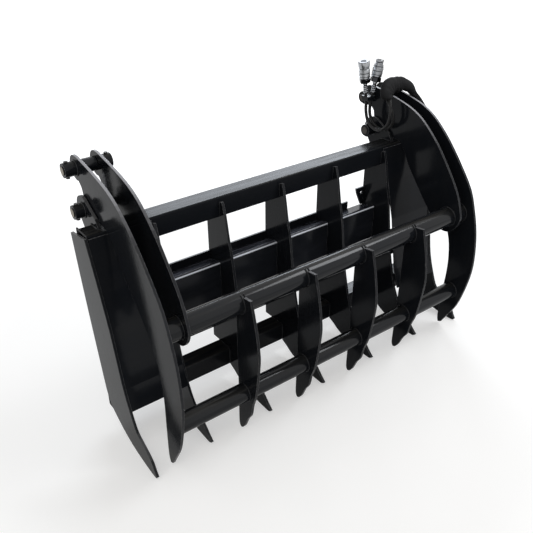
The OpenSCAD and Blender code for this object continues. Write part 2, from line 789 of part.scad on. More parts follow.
module rod(side) {
    color(steel)
        difference() {
            union() {
                cylinder_axis(side)
                    cylinder(h = rod_out + rod_in, d = rod_d);
                along_x(side * cyl_x - eye_w / 2, side * cyl_x + eye_w / 2, rod_pin_y, rod_pin_z, eye_d / 2);
            }
            along_x(side * cyl_x - eye_w, side * cyl_x + eye_w, rod_pin_y, rod_pin_z, pin_bore_r);
        }
}

module gland(side) {
    lip = barrel_wall * 0.4;
    color(paint)
        difference() {
            cylinder_axis(side)
                translate([0, 0, rod_out])
                    cylinder(h = gland_l / 2, r = barrel_d / 2 + lip);
            cylinder_axis(side)
                cylinder(h = rod_out + gland_l, r = rod_d / 2 + pin_fit);
        }
}

module barrel(side) {
    start = rod_out + gland_l / 2;
    base_cap = cyl_len - base_neck;
    neck_d = base_eye_d * 0.66;
    neck_w = base_eye_w * 0.84;
    port_r = barrel_wall * 1.8;
    port_z = [start + gland_l, base_cap - gland_l];
    color(paint)
        difference() {
            union() {
                cylinder_axis(side)
                    translate([0, 0, start])
                        cylinder(h = base_cap - start, d = barrel_d);
                along_x(side * cyl_x - base_eye_w / 2, side * cyl_x + base_eye_w / 2, base_y, base_z,
                    base_eye_d / 2);
                cylinder_axis(side)
                    translate([-neck_w / 2, -neck_d / 2, base_cap - over])
                        cube([neck_w, neck_d, base_neck]);
                for (z = port_z)
                    cylinder_axis(side)
                        translate([0, 0, z])
                            rotate([90, 0, 0])
                                cylinder(h = barrel_d / 2 + port_r * 1.3, r = port_r);
            }
            cylinder_axis(side)
                translate([0, 0, start - over])
                    cylinder(h = base_cap - start - gland_l, d = barrel_d - 2 * barrel_wall);
            along_x(side * cyl_x - base_eye_w, side * cyl_x + base_eye_w, base_y, base_z,
                base_pin_d / 2 + base_play);
        }
}

// A hose as one skin: a ring of points on each point of its route
function side_step(d) = let (s = cross(d, [0.2, 1, 0.1])) s / norm(s);

function hose_points(route, r, sides) = [
    for (i = [0 : len(route) - 1])
        let (
            a = route[max(i - 1, 0)],
            b = route[min(i + 1, len(route) - 1)],
            d = (b - a) / norm(b - a),
            u = side_step(d),
            w = cross(d, u))
        for (k = [0 : sides - 1])
            route[i] + r * (cos(360 * k / sides) * u + sin(360 * k / sides) * w)];

function skin_faces(rings, sides, first, out) = [
    for (i = [0 : rings - 2], k = [0 : sides - 1])
        let (
            a = first + i * sides + k,
            b = first + i * sides + (k + 1) % sides)
        out ? [a, a + sides, b + sides, b] : [b, b + sides, a + sides, a]];

function hose_faces(rings, sides) = concat(
    [[for (k = [0 : sides - 1]) k]],
    skin_faces(rings, sides, 0, true),
    [[for (k = [sides - 1 : -1 : 0]) (rings - 1) * sides + k]]);

// An open tube has an outer skin, an inner one and a flat ring at each end
function sleeve_faces(rings, sides) =
    let (inner = rings * sides, last = (rings - 1) * sides)
    concat(
        skin_faces(rings, sides, 0, true),
        skin_faces(rings, sides, inner, false),
        [for (k = [0 : sides - 1])
            let (n = (k + 1) % sides)
            [k, n, inner + n, inner + k]],
        [for (k = [0 : sides - 1])
            let (n = (k + 1) % sides)
            [last + n, last + k, inner + last + k, inner + last + n]]);

module hose(route) {
    path = smooth(route, 2);
    sides = 10;
    color(rubber)
        polyhedron(points = hose_points(path, hose_d / 2, sides), faces = hose_faces(len(path), sides));
}

module hose_a() {
    hose(hose_a_route);
}

module hose_b() {
    hose(hose_b_route);
}

// The angle from upright at which a hose leaves its coupler
function lean_of(route) = atan2(route[0][0] - route[1][0], route[0][2] - route[1][2]);

// A quick coupler on a hose end: crimped stem, hexagon, sleeve, and a nose with a socket
module coupler(route, nose_share) {
    nose_d = coupler_d * nose_share;
    color(steel)
        translate(route[0])
            rotate([0, lean_of(route), 0]) {
                cylinder(h = stem_l, d = stem_d);
                translate([0, 0, stem_l])
                    cylinder(h = hex_l, d = coupler_d * 1.08, $fn = 6);
                translate([0, 0, stem_l + hex_l])
                    cylinder(h = body_l, d = coupler_d);
                translate([0, 0, stem_l + hex_l + body_l])
                    difference() {
                        cylinder(h = nose_l, d = nose_d);
                        translate([0, 0, nose_l - socket_l])
                            cylinder(h = nose_l, d = nose_d * 0.5);
                    }
            }
}

module coupler_a() {
    coupler(hose_a_route, 1.06);
}

module coupler_b() {
    coupler(hose_b_route, 0.8);
}

// A woven sleeve round both hoses, open at both ends
module hose_sleeve() {
    path = smooth(sleeve_route, 2);
    sides = 14;
    color(rubber)
        polyhedron(
            points = concat(
                hose_points(path, sleeve_d / 2, sides),
                hose_points(path, sleeve_d / 2 - sleeve_wall, sides)),
            faces = sleeve_faces(len(path), sides));
}

// A clamp block round both hoses, welded to the front of the rod pin's boss
module hose_clamp() {
    a = hose_a_route[1];
    b = hose_b_route[1];
    margin = hose_d * 0.8;
    front = b[1] - margin;
    depth = tip_y + rod_pin_y - front;
    color(zinc)
        difference() {
            translate([a[0] - margin, front, a[2] - clamp_t / 2])
                cube([b[0] - a[0] + 2 * margin, depth, clamp_t]);
            along_x(0, side_x, rod_pin_y, rod_pin_z, boss_d / 2);
            for (route = [hose_a_route, hose_b_route])
                translate(route[1])
                    rotate([0, lean_of(route), 0])
                        translate([0, 0, -2 * clamp_t])
                            cylinder(h = 4 * clamp_t, r = hose_d / 2 + clamp_fit);
        }
}

// Elbows that take the hoses through the right arm's outer plate
module hose_elbows() {
    elbow_r = elbow_d / 2;
    drop = elbow_drop;
    color(zinc)
        for (route = [hose_a_route, hose_b_route]) {
            foot = route[len(route) - 1];
            translate([foot[0], foot[1], foot[2] - drop])
                cylinder(h = drop, r = elbow_r);
            translate([arm_out_face, foot[1], foot[2] - drop])
                rotate([0, 90, 0])
                    cylinder(h = foot[0] - arm_out_face, r = elbow_r);
            translate([foot[0], foot[1], foot[2] - drop])
                sphere(r = elbow_r);
        }
}

top_beam();
lower_beam();
side_plate(-1);  // side_plate_left
side_plate(1);  // side_plate_right
frame_tine(1);  // frame_tine_1
frame_tine(2);  // frame_tine_2
frame_tine(3);  // frame_tine_3
frame_tine(4);  // frame_tine_4
frame_tine(5);  // frame_tine_5
guard(-1);  // guard_left
guard(1);  // guard_right
front_plate(1);  // front_plate_1
front_plate(2);  // front_plate_2
front_plate(3);  // front_plate_3
front_plate(4);  // front_plate_4
hitch_plate();
hitch_rib(-1);  // hitch_rib_left
hitch_rib(1);  // hitch_rib_right
hose_bracket();
bracket(-1, bracket_out_x, 1);  // bracket_outer_left
bracket(1, bracket_out_x, 1);  // bracket_outer_right
bracket(-1, bracket_in_x, -1);  // bracket_inner_left
bracket(1, bracket_in_x, -1);  // bracket_inner_right
pivot_pin(-1);  // pivot_pin_left
pivot_pin(1);  // pivot_pin_right
pivot_bolts();
cylinder_mount(-1);  // cylinder_mount_left
cylinder_mount(1);  // cylinder_mount_right
base_pin(-1);  // base_pin_left
base_pin(1);  // base_pin_right
arm_outer(-1);  // arm_outer_left
arm_outer(1);  // arm_outer_right
arm_inner(-1);  // arm_inner_left
arm_inner(1);  // arm_inner_right
jaw_upper_tube();
jaw_lower_tube();
jaw_tine(1);  // jaw_tine_1
jaw_tine(2);  // jaw_tine_2
jaw_tine(3);  // jaw_tine_3
jaw_tine(4);  // jaw_tine_4
pivot_hubs(-1);  // pivot_hubs_left
pivot_hubs(1);  // pivot_hubs_right
rod_pin(-1);  // rod_pin_left
rod_pin(1);  // rod_pin_right
rod_pin_bolts();
rod(-1);  // rod_left
rod(1);  // rod_right
gland(-1);  // gland_left
gland(1);  // gland_right
barrel(-1);  // barrel_left
barrel(1);  // barrel_right
hose_a();
hose_b();
coupler_a();
coupler_b();
hose_elbows();
hose_sleeve();
hose_clamp();
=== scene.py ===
import json
import math

import bpy
import numpy as np
from mathutils import Matrix, Vector


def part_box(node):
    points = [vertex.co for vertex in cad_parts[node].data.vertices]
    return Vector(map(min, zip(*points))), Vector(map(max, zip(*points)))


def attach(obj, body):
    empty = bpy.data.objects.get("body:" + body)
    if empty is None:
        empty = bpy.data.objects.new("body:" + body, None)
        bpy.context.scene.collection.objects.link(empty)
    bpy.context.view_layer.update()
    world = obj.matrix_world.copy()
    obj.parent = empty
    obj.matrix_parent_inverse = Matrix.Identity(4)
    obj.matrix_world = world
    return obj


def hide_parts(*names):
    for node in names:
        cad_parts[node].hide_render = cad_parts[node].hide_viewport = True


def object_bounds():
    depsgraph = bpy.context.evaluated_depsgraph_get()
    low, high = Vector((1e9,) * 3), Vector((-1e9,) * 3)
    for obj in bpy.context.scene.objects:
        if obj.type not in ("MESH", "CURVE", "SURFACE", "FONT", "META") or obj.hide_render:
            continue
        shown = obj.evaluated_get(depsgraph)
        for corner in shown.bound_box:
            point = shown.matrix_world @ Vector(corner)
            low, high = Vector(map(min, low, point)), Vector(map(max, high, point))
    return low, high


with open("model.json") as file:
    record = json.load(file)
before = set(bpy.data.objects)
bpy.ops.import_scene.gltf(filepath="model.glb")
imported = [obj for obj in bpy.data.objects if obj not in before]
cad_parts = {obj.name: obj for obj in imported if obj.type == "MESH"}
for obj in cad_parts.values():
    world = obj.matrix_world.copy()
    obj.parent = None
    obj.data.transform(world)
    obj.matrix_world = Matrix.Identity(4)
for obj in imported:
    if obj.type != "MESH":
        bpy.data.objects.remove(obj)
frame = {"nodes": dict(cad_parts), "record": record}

cad_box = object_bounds()

# The camera stands in front and to the left of the rake, a little above its arms, and looks
# down at it with a slightly long lens, as a person beside the loader would.
eye_at = (-1.77315, -2.37707, 1.75719)
eye_right = (0.81121, -0.58451, -0.01693)
eye_up = (0.31609, 0.41395, 0.85366)
eye_forward = (0.49196, 0.69785, -0.52056)
film_width = 36.0
focal_over_picture = 633.36 / 533
camera_data = bpy.data.cameras.new("camera")
camera_data.sensor_width = film_width
camera_data.lens = focal_over_picture * film_width
camera_data.shift_x = 0.0292
camera_data.shift_y = 0.0146
camera_data.clip_end = 100.0
camera = bpy.data.objects.new("camera", camera_data)
bpy.context.scene.collection.objects.link(camera)
eye_axes = Matrix([[r, u, -f] for r, u, f in zip(eye_right, eye_up, eye_forward)])
camera.matrix_world = Matrix.Translation(eye_at) @ eye_axes.to_4x4()
bpy.context.scene.camera = camera

# The two hydraulic hoses are wire-braided rubber with a wrapped cover, 17 mm thick outside.
# Each is crimped into a quick coupler at its upper end. It hangs below the coupler in a short
# bend, climbs over the right arm and ends at an elbow on the arm's outer face.
hose_d = 0.017
hose_routes = {
    "hose_a": [
        (728, 60, 801), (733, 60, 773), (738, 60, 745), (739, 60, 715), (740, 55, 684),
        (740, 42, 654), (740, 18, 631), (740, -13, 618), (740, -46, 619), (741, -77, 632),
        (742, -101, 656), (744, -112, 688), (748, -113, 721), (753, -105, 755), (760, -92, 788),
        (770, -77, 817), (788, -63, 839), (813, -54, 853), (840, -50, 858), (867, -53, 854),
        (892, -64, 842), (912, -82, 822), (928, -106, 797), (939, -133, 769), (946, -161, 738),
        (949, -189, 705), (950, -213, 670), (950, -232, 634), (950, -243, 604), (950, -246, 580),
        (950, -246, 560), (950, -246, 540)],
    "hose_b": [
        (768, 46, 798), (762, 46, 770), (756, 46, 742), (756, 47, 714), (760, 47, 684),
        (766, 38, 653), (771, 17, 628), (775, -13, 614), (777, -46, 613), (778, -78, 626),
        (778, -102, 650), (777, -112, 683), (774, -107, 717), (768, -92, 750), (761, -74, 782),
        (768, -57, 813), (785, -43, 835), (810, -34, 850), (838, -30, 856), (867, -33, 852),
        (893, -44, 840), (914, -62, 820), (931, -86, 789), (941, -114, 760), (947, -143, 730),
        (950, -170, 697), (950, -193, 661), (950, -210, 626), (950, -219, 594), (950, -222, 570),
        (950, -222, 550), (950, -222, 530)]}
rubber_black = (0.006, 0.006, 0.0065, 1)
rubber_scuffed = (0.022, 0.021, 0.020, 1)
wrap_pitch = 0.0016
wrap_slant = 0.35
hose_sides = 20
steps_per_point = 5


def path_through(points, steps):
    """Points along a smooth curve: between two points, a cubic that also leans on the next ones."""
    p = np.asarray(points, float)
    p = np.vstack([p[:1], p, p[-1:]])
    t = (np.arange(steps) / steps)[None, :, None]
    a, b, c, d = p[:-3, None], p[1:-2, None], p[2:-1, None], p[3:, None]
    curve = 0.5 * (2 * b + (c - a) * t + (2 * a - 5 * b + 4 * c - d) * t ** 2
                   + (3 * b - a - 3 * c + d) * t ** 3)
    return np.vstack([curve.reshape(-1, 3), p[-1:]])


def run_length(path):
    """Distance along a path from its first point to each of its points."""
    steps = np.linalg.norm(np.diff(path, axis=0), axis=1)
    return np.concatenate([[0.0], np.cumsum(steps)])


def frames_along(path, up=(0.2, 1.0, 0.1)):
    """Unit vectors on a path: its direction, a side step square to it, and the third one."""
    way = np.gradient(path, axis=0)
    way /= np.linalg.norm(way, axis=1, keepdims=True)
    side = np.cross(way, up)
    side /= np.linalg.norm(side, axis=1, keepdims=True)
    return way, side, np.cross(way, side)


def rings_along(path, radius, sides, up=(0.2, 1.0, 0.1)):
    """Round rings of points: each path point plus its radius times cosine and sine of the turn."""
    way, side, lift = frames_along(path, up)
    turn = np.linspace(0, 2 * np.pi, sides, endpoint=False)
    ring = (np.cos(turn)[None, :, None] * side[:, None]
            + np.sin(turn)[None, :, None] * lift[:, None])
    radius = np.broadcast_to(np.asarray(radius, float), (len(path), sides))
    return path[:, None] + radius[:, :, None] * ring


def grid_faces(rows, columns, first=0, rows_close=False):
    """Quads between neighbouring rows of points, where each row closes on itself."""
    i = np.arange(rows if rows_close else rows - 1)[:, None]
    j = np.arange(columns)[None, :]
    k, n = (j + 1) % columns, (i + 1) % rows
    quads = np.stack([i * columns + j, i * columns + k, n * columns + k, n * columns + j], axis=-1)
    return quads.reshape(-1, 4) + first


def add_piece(name, points, faces, body, material):
    """A smooth mesh object at the origin, with its place in its points, that rides on a CAD body."""
    mesh = bpy.data.meshes.new(name)
    mesh.from_pydata(np.asarray(points).reshape(-1, 3), [], faces)
    mesh.shade_smooth()
    piece = bpy.data.objects.new(name, mesh)
    bpy.context.scene.collection.objects.link(piece)
    mesh.materials.append(material)
    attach(piece, body)
    return piece


def lay_uv(piece, rows, columns, along, around):
    """A UV map in metres: u runs along the piece and v round it, over the quads of its grid."""
    u = np.asarray(along, float)
    v = np.linspace(0, around, columns + 1)
    i = np.repeat(np.arange(rows - 1), columns)
    j = np.tile(np.arange(columns), rows - 1)
    corners = np.stack([np.stack([u[i + di], v[j + dj]], axis=-1)
                        for di, dj in ((0, 0), (0, 1), (1, 1), (1, 0))], axis=1)
    loops = np.zeros((len(piece.data.loops), 2))
    loops[:4 * len(corners)] = corners.reshape(-1, 2)
    piece.data.uv_layers.new(name="lay").data.foreach_set("uv", loops.ravel())


def new_material(name):
    """A new material, its node tree and its shader."""
    material = bpy.data.materials.new(name)
    material.use_nodes = True
    tree = material.node_tree
    return material, tree, tree.nodes["Principled BSDF"]


def add_node(tree, kind, inputs=(), **settings):
    """One node: its settings, then a value or a link for each named or numbered input."""
    node = tree.nodes.new(kind)
    for key, value in settings.items():
        setattr(node, key, value)
    for key, value in dict(inputs).items():
        if isinstance(value, bpy.types.NodeSocket):
            tree.links.new(value, node.inputs[key])
        else:
            node.inputs[key].default_value = value
    return node


hose_rubber, tree, shader = new_material("hose_rubber")
lay = add_node(tree, "ShaderNodeUVMap", uv_map="lay")
parts = add_node(tree, "ShaderNodeSeparateXYZ", {0: lay.outputs["UV"]})
# The cover's fine wrap marks run round the hose at a slant
slant = add_node(tree, "ShaderNodeMath", {0: parts.outputs["Y"], 1: wrap_slant,
                                          2: parts.outputs["X"]}, operation="MULTIPLY_ADD")
marks = add_node(tree, "ShaderNodeMath", {0: slant.outputs[0], 1: 2 * math.pi / wrap_pitch},
                 operation="MULTIPLY")
wave = add_node(tree, "ShaderNodeMath", {0: marks.outputs[0]}, operation="SINE")
place = add_node(tree, "ShaderNodeTexCoord")
scuffs = add_node(tree, "ShaderNodeTexNoise",
                  {"Vector": place.outputs["Object"], "Scale": 26.0, "Detail": 6.0})
scuffed = add_node(tree, "ShaderNodeMapRange",
                   {"Value": scuffs.outputs["Fac"], "From Min": 0.48, "From Max": 0.72})
tint = add_node(tree, "ShaderNodeMix", {"Factor": scuffed.outputs["Result"], "A": rubber_black,
                                        "B": rubber_scuffed}, data_type="RGBA")
sheen = add_node(tree, "ShaderNodeMapRange",
                 {"Value": scuffs.outputs["Fac"], "To Min": 0.30, "To Max": 0.55})
relief = add_node(tree, "ShaderNodeBump", {"Strength": 0.35, "Distance": 0.0004,
                                           "Height": wave.outputs[0]})
shader.inputs["Specular IOR Level"].default_value = 0.28
tree.links.new(tint.outputs["Result"], shader.inputs["Base Color"])
tree.links.new(sheen.outputs["Result"], shader.inputs["Roughness"])
tree.links.new(relief.outputs["Normal"], shader.inputs["Normal"])

hoses = {}
for name, route in hose_routes.items():
    path = path_through(np.asarray(route) / 1000.0, steps_per_point)
    rings = rings_along(path, hose_d / 2, hose_sides)
    faces = grid_faces(len(path), hose_sides).tolist()
    faces.append(list(range(hose_sides))[::-1])
    faces.append(list(range((len(path) - 1) * hose_sides, len(path) * hose_sides)))
    hose = add_piece(name + "_skin", rings, faces, "jaw", hose_rubber)
    lay_uv(hose, len(path), hose_sides, run_length(path), math.pi * hose_d)
    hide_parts(name)
    hoses[name] = (hose, path)

# A woven nylon sleeve keeps the two hoses together where they bend over the arm's top edge.
# It is an open, slightly creased tube that was pushed over both hoses before the elbows went on.
# Where it comes down beside the arm it is drawn tight to the pair, so its section there is oval.
sleeve_route = [
    (761, -82, 788), (769, -67, 815), (787, -53, 837), (811, -44, 851), (839, -40, 857),
    (867, -43, 853), (886, -51, 845), (914, -72, 822), (930, -96, 794), (941, -124, 765),
    (947, -152, 734), (950, -181, 701)]
sleeve_r = 0.0243
sleeve_wall = 0.0022
# Lengths along the sleeve between which its section turns oval, and the oval's two radii
oval_from, oval_to = 0.135, 0.195
sleeve_oval = (0.0225, 0.0135)
oval_shift = 0.0018
# Lengths along the sleeve that are loose, the lengths over which it loosens and tightens there,
# and how far its slack bulges outward and hangs inward
loose_from, loose_to = -0.004, 0.27
loosens_over, tightens_over = 0.03, 0.07
slack_out, slack_in = 0.028, 0.034
# The pair of hoses lies across this direction, and the oval's long axis follows it
pair_across = np.array([-0.05, -0.90, 0.43])
crease_deep = 0.0007
crease_pitch = 0.023
thread_pitch = 0.0024
sleeve_sides = 56
sleeve_steps = 14
nylon_black = (0.003, 0.003, 0.0034, 1)
nylon_grey = (0.010, 0.010, 0.011, 1)

woven_nylon, tree, shader = new_material("woven_nylon")
lay = add_node(tree, "ShaderNodeUVMap", uv_map="lay")
parts = add_node(tree, "ShaderNodeSeparateXYZ", {0: lay.outputs["UV"]})
threads = []
for axis in ("X", "Y"):
    turns = add_node(tree, "ShaderNodeMath", {0: parts.outputs[axis], 1: math.pi / thread_pitch},
                     operation="MULTIPLY")
    threads.append(add_node(tree, "ShaderNodeMath", {0: turns.outputs[0]}, operation="SINE"))
# Over and under: the product of the two thread waves is high on every other crossing
weave = add_node(tree, "ShaderNodeMath", {0: threads[0].outputs[0], 1: threads[1].outputs[0]},
                 operation="MULTIPLY")
depth = add_node(tree, "ShaderNodeMapRange", {"Value": weave.outputs[0], "From Min": -1.0})
# The lower crossings are painted darker: painted shade between the threads
tint = add_node(tree, "ShaderNodeMix", {"Factor": depth.outputs["Result"], "A": nylon_black,
                                        "B": nylon_grey}, data_type="RGBA")
relief = add_node(tree, "ShaderNodeBump", {"Strength": 0.6, "Distance": 0.0006,
                                           "Height": depth.outputs["Result"]})
shader.inputs["Roughness"].default_value = 0.62
shader.inputs["Specular IOR Level"].default_value = 0.12
tree.links.new(tint.outputs["Result"], shader.inputs["Base Color"])
tree.links.new(relief.outputs["Normal"], shader.inputs["Normal"])


def ease(x):
    """A smooth step: 3 times x squared less 2 times x cubed, for x from 0 to 1, as a column."""
    return (x * x * (3 - 2 * x))[:, None]


path = path_through(np.asarray(sleeve_route) / 1000.0, sleeve_steps)
run = run_length(path)
outward = np.cross(np.gradient(path, axis=0), pair_across)
outward /= np.linalg.norm(outward, axis=1, keepdims=True)
outward *= np.sign(outward[np.argmax(path[:, 2]), 2])
tight = ease(np.clip((run - oval_from) / (oval_to - oval_from), 0, 1))
path = path + oval_shift * tight * outward
# Over the arm the sleeve is loose: its slack hangs inward at the top and bulges at the shoulders
along_path = np.gradient(path, axis=0)
along_path /= np.linalg.norm(along_path, axis=1, keepdims=True)
steep = np.abs(along_path[:, 2:3])
loose = ease(np.clip((run - loose_from) / loosens_over, 0, 1)
             * np.clip((loose_to - run) / tightens_over, 0, 1))
out_edge = slack_out * np.clip(steep * 1.5, 0, 1)
in_edge = slack_in * (1 - steep)
path = path + 0.5 * loose * (out_edge - in_edge) * outward
turn = np.linspace(0, 2 * np.pi, sleeve_sides, endpoint=False)
long_r = sleeve_r + (sleeve_oval[0] - sleeve_r) * tight
short_r = sleeve_r + (sleeve_oval[1] - sleeve_r) * tight
short_r = short_r + 0.5 * loose * (out_edge + in_edge)
section = long_r * short_r / np.hypot(short_r * np.cos(turn), long_r * np.sin(turn))
# Creases: a slow wave along the sleeve that is deeper on one side than on the other
crease_turn = run[:, None] * 2 * np.pi / crease_pitch
crease = crease_deep * np.sin(crease_turn + 0.9 * np.sin(2 * turn[None]))
crease = crease * (0.55 + 0.45 * np.cos(turn[None] - 0.6)) * (1 - 0.5 * tight)
outer = rings_along(path, section + crease, sleeve_sides, outward)
inner = rings_along(path, section - sleeve_wall + crease, sleeve_sides, outward)[::-1]
faces = grid_faces(2 * len(path), sleeve_sides, rows_close=True).tolist()
sleeve = add_piece("woven_sleeve", np.vstack([outer, inner]), faces, "jaw",
                   woven_nylon)
lay_uv(sleeve, 2 * len(path), sleeve_sides, np.concatenate([run, run[-1] + run]),
       2 * math.pi * sleeve_r)
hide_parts("hose_sleeve")

# The quick couplers are turned from steel bar and bright zinc-nickel plated. A ferrule is crimped
# on the hose in four bands, a hexagon takes the spanner, and a knurled sleeve slides back to
# free the other half. The left one is the socket, the right one has the nose.
# Each row of the profile is the distance along, the radius, 1 for six flats and 1 for a knurl,
# in mm from the hose's end.
coupler_sides = 96
coupler_stem = [
    (0, 8.6, 0, 0), (0, 10.6, 0, 0), (2, 11.6, 0, 0), (8, 11.6, 0, 0), (9, 10.8, 0, 0), (12, 10.8, 0, 0),
    (13, 11.6, 0, 0), (19, 11.6, 0, 0), (20, 10.8, 0, 0), (23, 10.8, 0, 0), (24, 11.6, 0, 0),
    (30, 11.6, 0, 0), (31, 10.8, 0, 0), (34, 10.8, 0, 0), (35, 11.6, 0, 0), (41, 11.6, 0, 0),
    (42, 9.6, 0, 0), (48, 9.6, 0, 0), (49, 13.2, 0, 0), (57.6, 13.2, 0, 0), (58, 20.0, 0, 0),
    (58.2, 27.2, 1, 0), (60.4, 29.8, 1, 0), (79.6, 29.8, 1, 0), (81.8, 27.2, 1, 0), (82, 23.4, 0, 0),
    (84, 23.4, 0, 0), (84.2, 26.6, 0, 0), (85.6, 28.6, 0, 0), (93, 28.6, 0, 0), (93.6, 27.2, 0, 0),
    (95.4, 27.2, 0, 0), (96, 29.0, 0, 0), (97, 29.0, 0, 1), (111, 29.0, 0, 1), (112, 29.0, 0, 0),
    (112.6, 27.4, 0, 0), (115, 27.4, 0, 0), (115.6, 29.0, 0, 0), (116.6, 29.0, 0, 1),
    (130, 29.0, 0, 1), (131, 29.0, 0, 0), (132.4, 27.0, 0, 0), (140, 27.0, 0, 0)]
coupler_heads = {
    "coupler_a": [
        (141, 28.6, 0, 0), (144, 28.6, 0, 0), (148, 30.4, 0, 0), (170.6, 30.4, 0, 0),
        (172.8, 29.6, 0, 0), (174, 28.0, 0, 0), (174, 17.0, 0, 0), (172.4, 14.6, 0, 0),
        (162.2, 14.4, 0, 0), (162, 9.0, 0, 0), (163.6, 7.0, 0, 0), (165, 3.0, 0, 0)],
    "coupler_b": [
        (141, 25.0, 0, 0), (149, 25.0, 0, 0), (150, 21.4, 0, 0), (155, 21.4, 0, 0), (156.4, 20.0, 0, 0),
        (160, 20.0, 0, 0), (161.4, 21.4, 0, 0), (171.6, 21.4, 0, 0), (174, 19.4, 0, 0), (174, 12.6, 0, 0),
        (172.6, 11.0, 0, 0), (163, 10.9, 0, 0), (163, 6.4, 0, 0), (168, 5.0, 0, 0), (169, 2.4, 0, 0)]}
# The spanner hexagon keeps a dark oxide, the grooves and the mouth are darkened as painted shade, and
# coupler B is darker all over
dark_bands = ((8.5, 12.5), (19.5, 23.5), (30.5, 34.5), (41.5, 48.5), (58, 84.1), (93.3, 95.7),
              (112.3, 115.3), (133, 140.5), (155.5, 161), (172.5, 200))
least_darkening = {"coupler_a": 0.0, "coupler_b": 0.42}
knurl_deep = 0.35
sharp_edge = math.radians(32)


def turned(stations, foot, way, sides):
    """A turned piece: at each station a ring of its radius, with six flats or a knurl if it says."""
    along, radius, flats, knurl = np.asarray(stations, float).T
    turn = np.linspace(0, 2 * np.pi, sides, endpoint=False)
    flat = math.cos(math.pi / 6) / np.cos((turn % (math.pi / 3)) - math.pi / 6)
    r = np.where(flats[:, None] > 0, flat[None], 1.0) * radius[:, None]
    r = r + knurl_deep * knurl[:, None] * np.cos(turn * sides / 4)[None]
    side = np.cross(way, (0.0, 1.0, 0.0))
    side /= np.linalg.norm(side)
    lift = np.cross(side, way)
    ring = np.cos(turn)[:, None] * side + np.sin(turn)[:, None] * lift
    points = (foot + along[:, None, None] * way + r[:, :, None] * ring[None]) / 1000.0
    faces = grid_faces(len(along), sides).tolist()
    faces.append(list(range(sides))[::-1])
    faces.append(list(range((len(along) - 1) * sides, len(along) * sides)))
    return points, faces


bright_plating, tree, shader = new_material("bright_plating")
place = add_node(tree, "ShaderNodeTexCoord")
oxide_and_shade = add_node(tree, "ShaderNodeAttribute", attribute_name="oxide_and_shade")
# Turning marks and handling: fine rings up the coupler, and soft dull patches
smears = add_node(tree, "ShaderNodeTexNoise",
                  {"Vector": place.outputs["Object"], "Scale": 70.0, "Detail": 5.0})
lathe = add_node(tree, "ShaderNodeMapping", {"Vector": place.outputs["Object"],
                                             "Scale": (40.0, 40.0, 2400.0)})
marks = add_node(tree, "ShaderNodeTexNoise", {"Vector": lathe.outputs["Vector"], "Scale": 1.0,
                                              "Detail": 2.0})
dull = add_node(tree, "ShaderNodeMapRange", {"Value": smears.outputs["Fac"], "To Min": 0.10,
                                             "To Max": 0.36})
tint = add_node(tree, "ShaderNodeMix", {"Factor": smears.outputs["Fac"],
                                        "A": (0.66, 0.68, 0.70, 1), "B": (0.30, 0.31, 0.33, 1)},
                data_type="RGBA")
# Darkened by the coupler's attribute: a dark oxide on the hexagon, and painted shade in the grooves and
# the mouth
tint = add_node(tree, "ShaderNodeMix", {"Factor": oxide_and_shade.outputs["Fac"], "A": tint.outputs["Result"],
                                        "B": (0.045, 0.045, 0.05, 1)}, data_type="RGBA")
relief = add_node(tree, "ShaderNodeBump", {"Strength": 0.25, "Distance": 0.0002,
                                           "Height": marks.outputs["Fac"]})
shader.inputs["Metallic"].default_value = 1.0
tree.links.new(tint.outputs["Result"], shader.inputs["Base Color"])
tree.links.new(dull.outputs["Result"], shader.inputs["Roughness"])
tree.links.new(relief.outputs["Normal"], shader.inputs["Normal"])

for name, head in coupler_heads.items():
    hose_name = name.replace("coupler", "hose")
    top, below = np.asarray(hose_routes[hose_name][:2], float)
    way = (top - below) * (1, 0, 1)
    way /= np.linalg.norm(way)
    points, faces = turned(coupler_stem + head, top, way, coupler_sides)
    coupler = add_piece(name + "_plated", points, faces, "jaw", bright_plating)
    along = np.asarray(coupler_stem + head)[:, 0]
    # Stations in the dark bands: oxide on the hexagon, painted shade in the grooves and the mouth
    in_band = np.any([(along >= a) & (along <= b) for a, b in dark_bands], axis=0)
    in_band = np.maximum(in_band, least_darkening[name])
    oxide_and_shade_values = coupler.data.attributes.new("oxide_and_shade", "FLOAT", "POINT")
    oxide_and_shade_values.data.foreach_set("value", np.repeat(in_band.astype(float), coupler_sides))
    split = coupler.modifiers.new("edges", "EDGE_SPLIT")
    split.split_angle = sharp_edge
    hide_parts(name)
    hose, path = hoses[hose_name]

# Nearly every plate, tube and beam is mild steel, welded up and sprayed gloss black. The paint is
# thin on the burnt and ground edges, where it wears to grey; that grey also paints highlights along
# the edges. It holds a little dust on top.
paint_black = (0.0085, 0.0098, 0.0125, 1)
paint_dusty = (0.030, 0.028, 0.024, 1)
edge_grey_and_highlight = (0.27, 0.27, 0.28, 1)
edge_reach = 0.0028
# The jaw's two pin axes, as Y and Z, and how far the bosses reach round them
pin_axes = ((0.0504, 0.5925), (0.1074, 0.7615))
boss_reach = 0.034

worn_and_highlit_coat = bpy.data.node_groups.new("worn_and_highlit_coat", "ShaderNodeTree")
for label, kind in (("Coat", "NodeSocketColor"), ("Dust", "NodeSocketColor"),
                    ("Edge", "NodeSocketColor"), ("Gloss", "NodeSocketFloat"),
                    ("Wear And Highlight", "NodeSocketFloat"), ("Reach", "NodeSocketFloat"),
                    ("Edge Highlight", "NodeSocketFloat"), ("Bend Highlight", "NodeSocketFloat")):
    worn_and_highlit_coat.interface.new_socket(label, in_out="INPUT", socket_type=kind)
for label, kind in (("Colour", "NodeSocketColor"), ("Roughness", "NodeSocketFloat"),
                    ("Height", "NodeSocketFloat"), ("Edge Normal", "NodeSocketVector")):
    worn_and_highlit_coat.interface.new_socket(label, in_out="OUTPUT", socket_type=kind)
given = add_node(worn_and_highlit_coat, "NodeGroupInput")
place = add_node(worn_and_highlit_coat, "ShaderNodeTexCoord")
shape = add_node(worn_and_highlit_coat, "ShaderNodeNewGeometry")
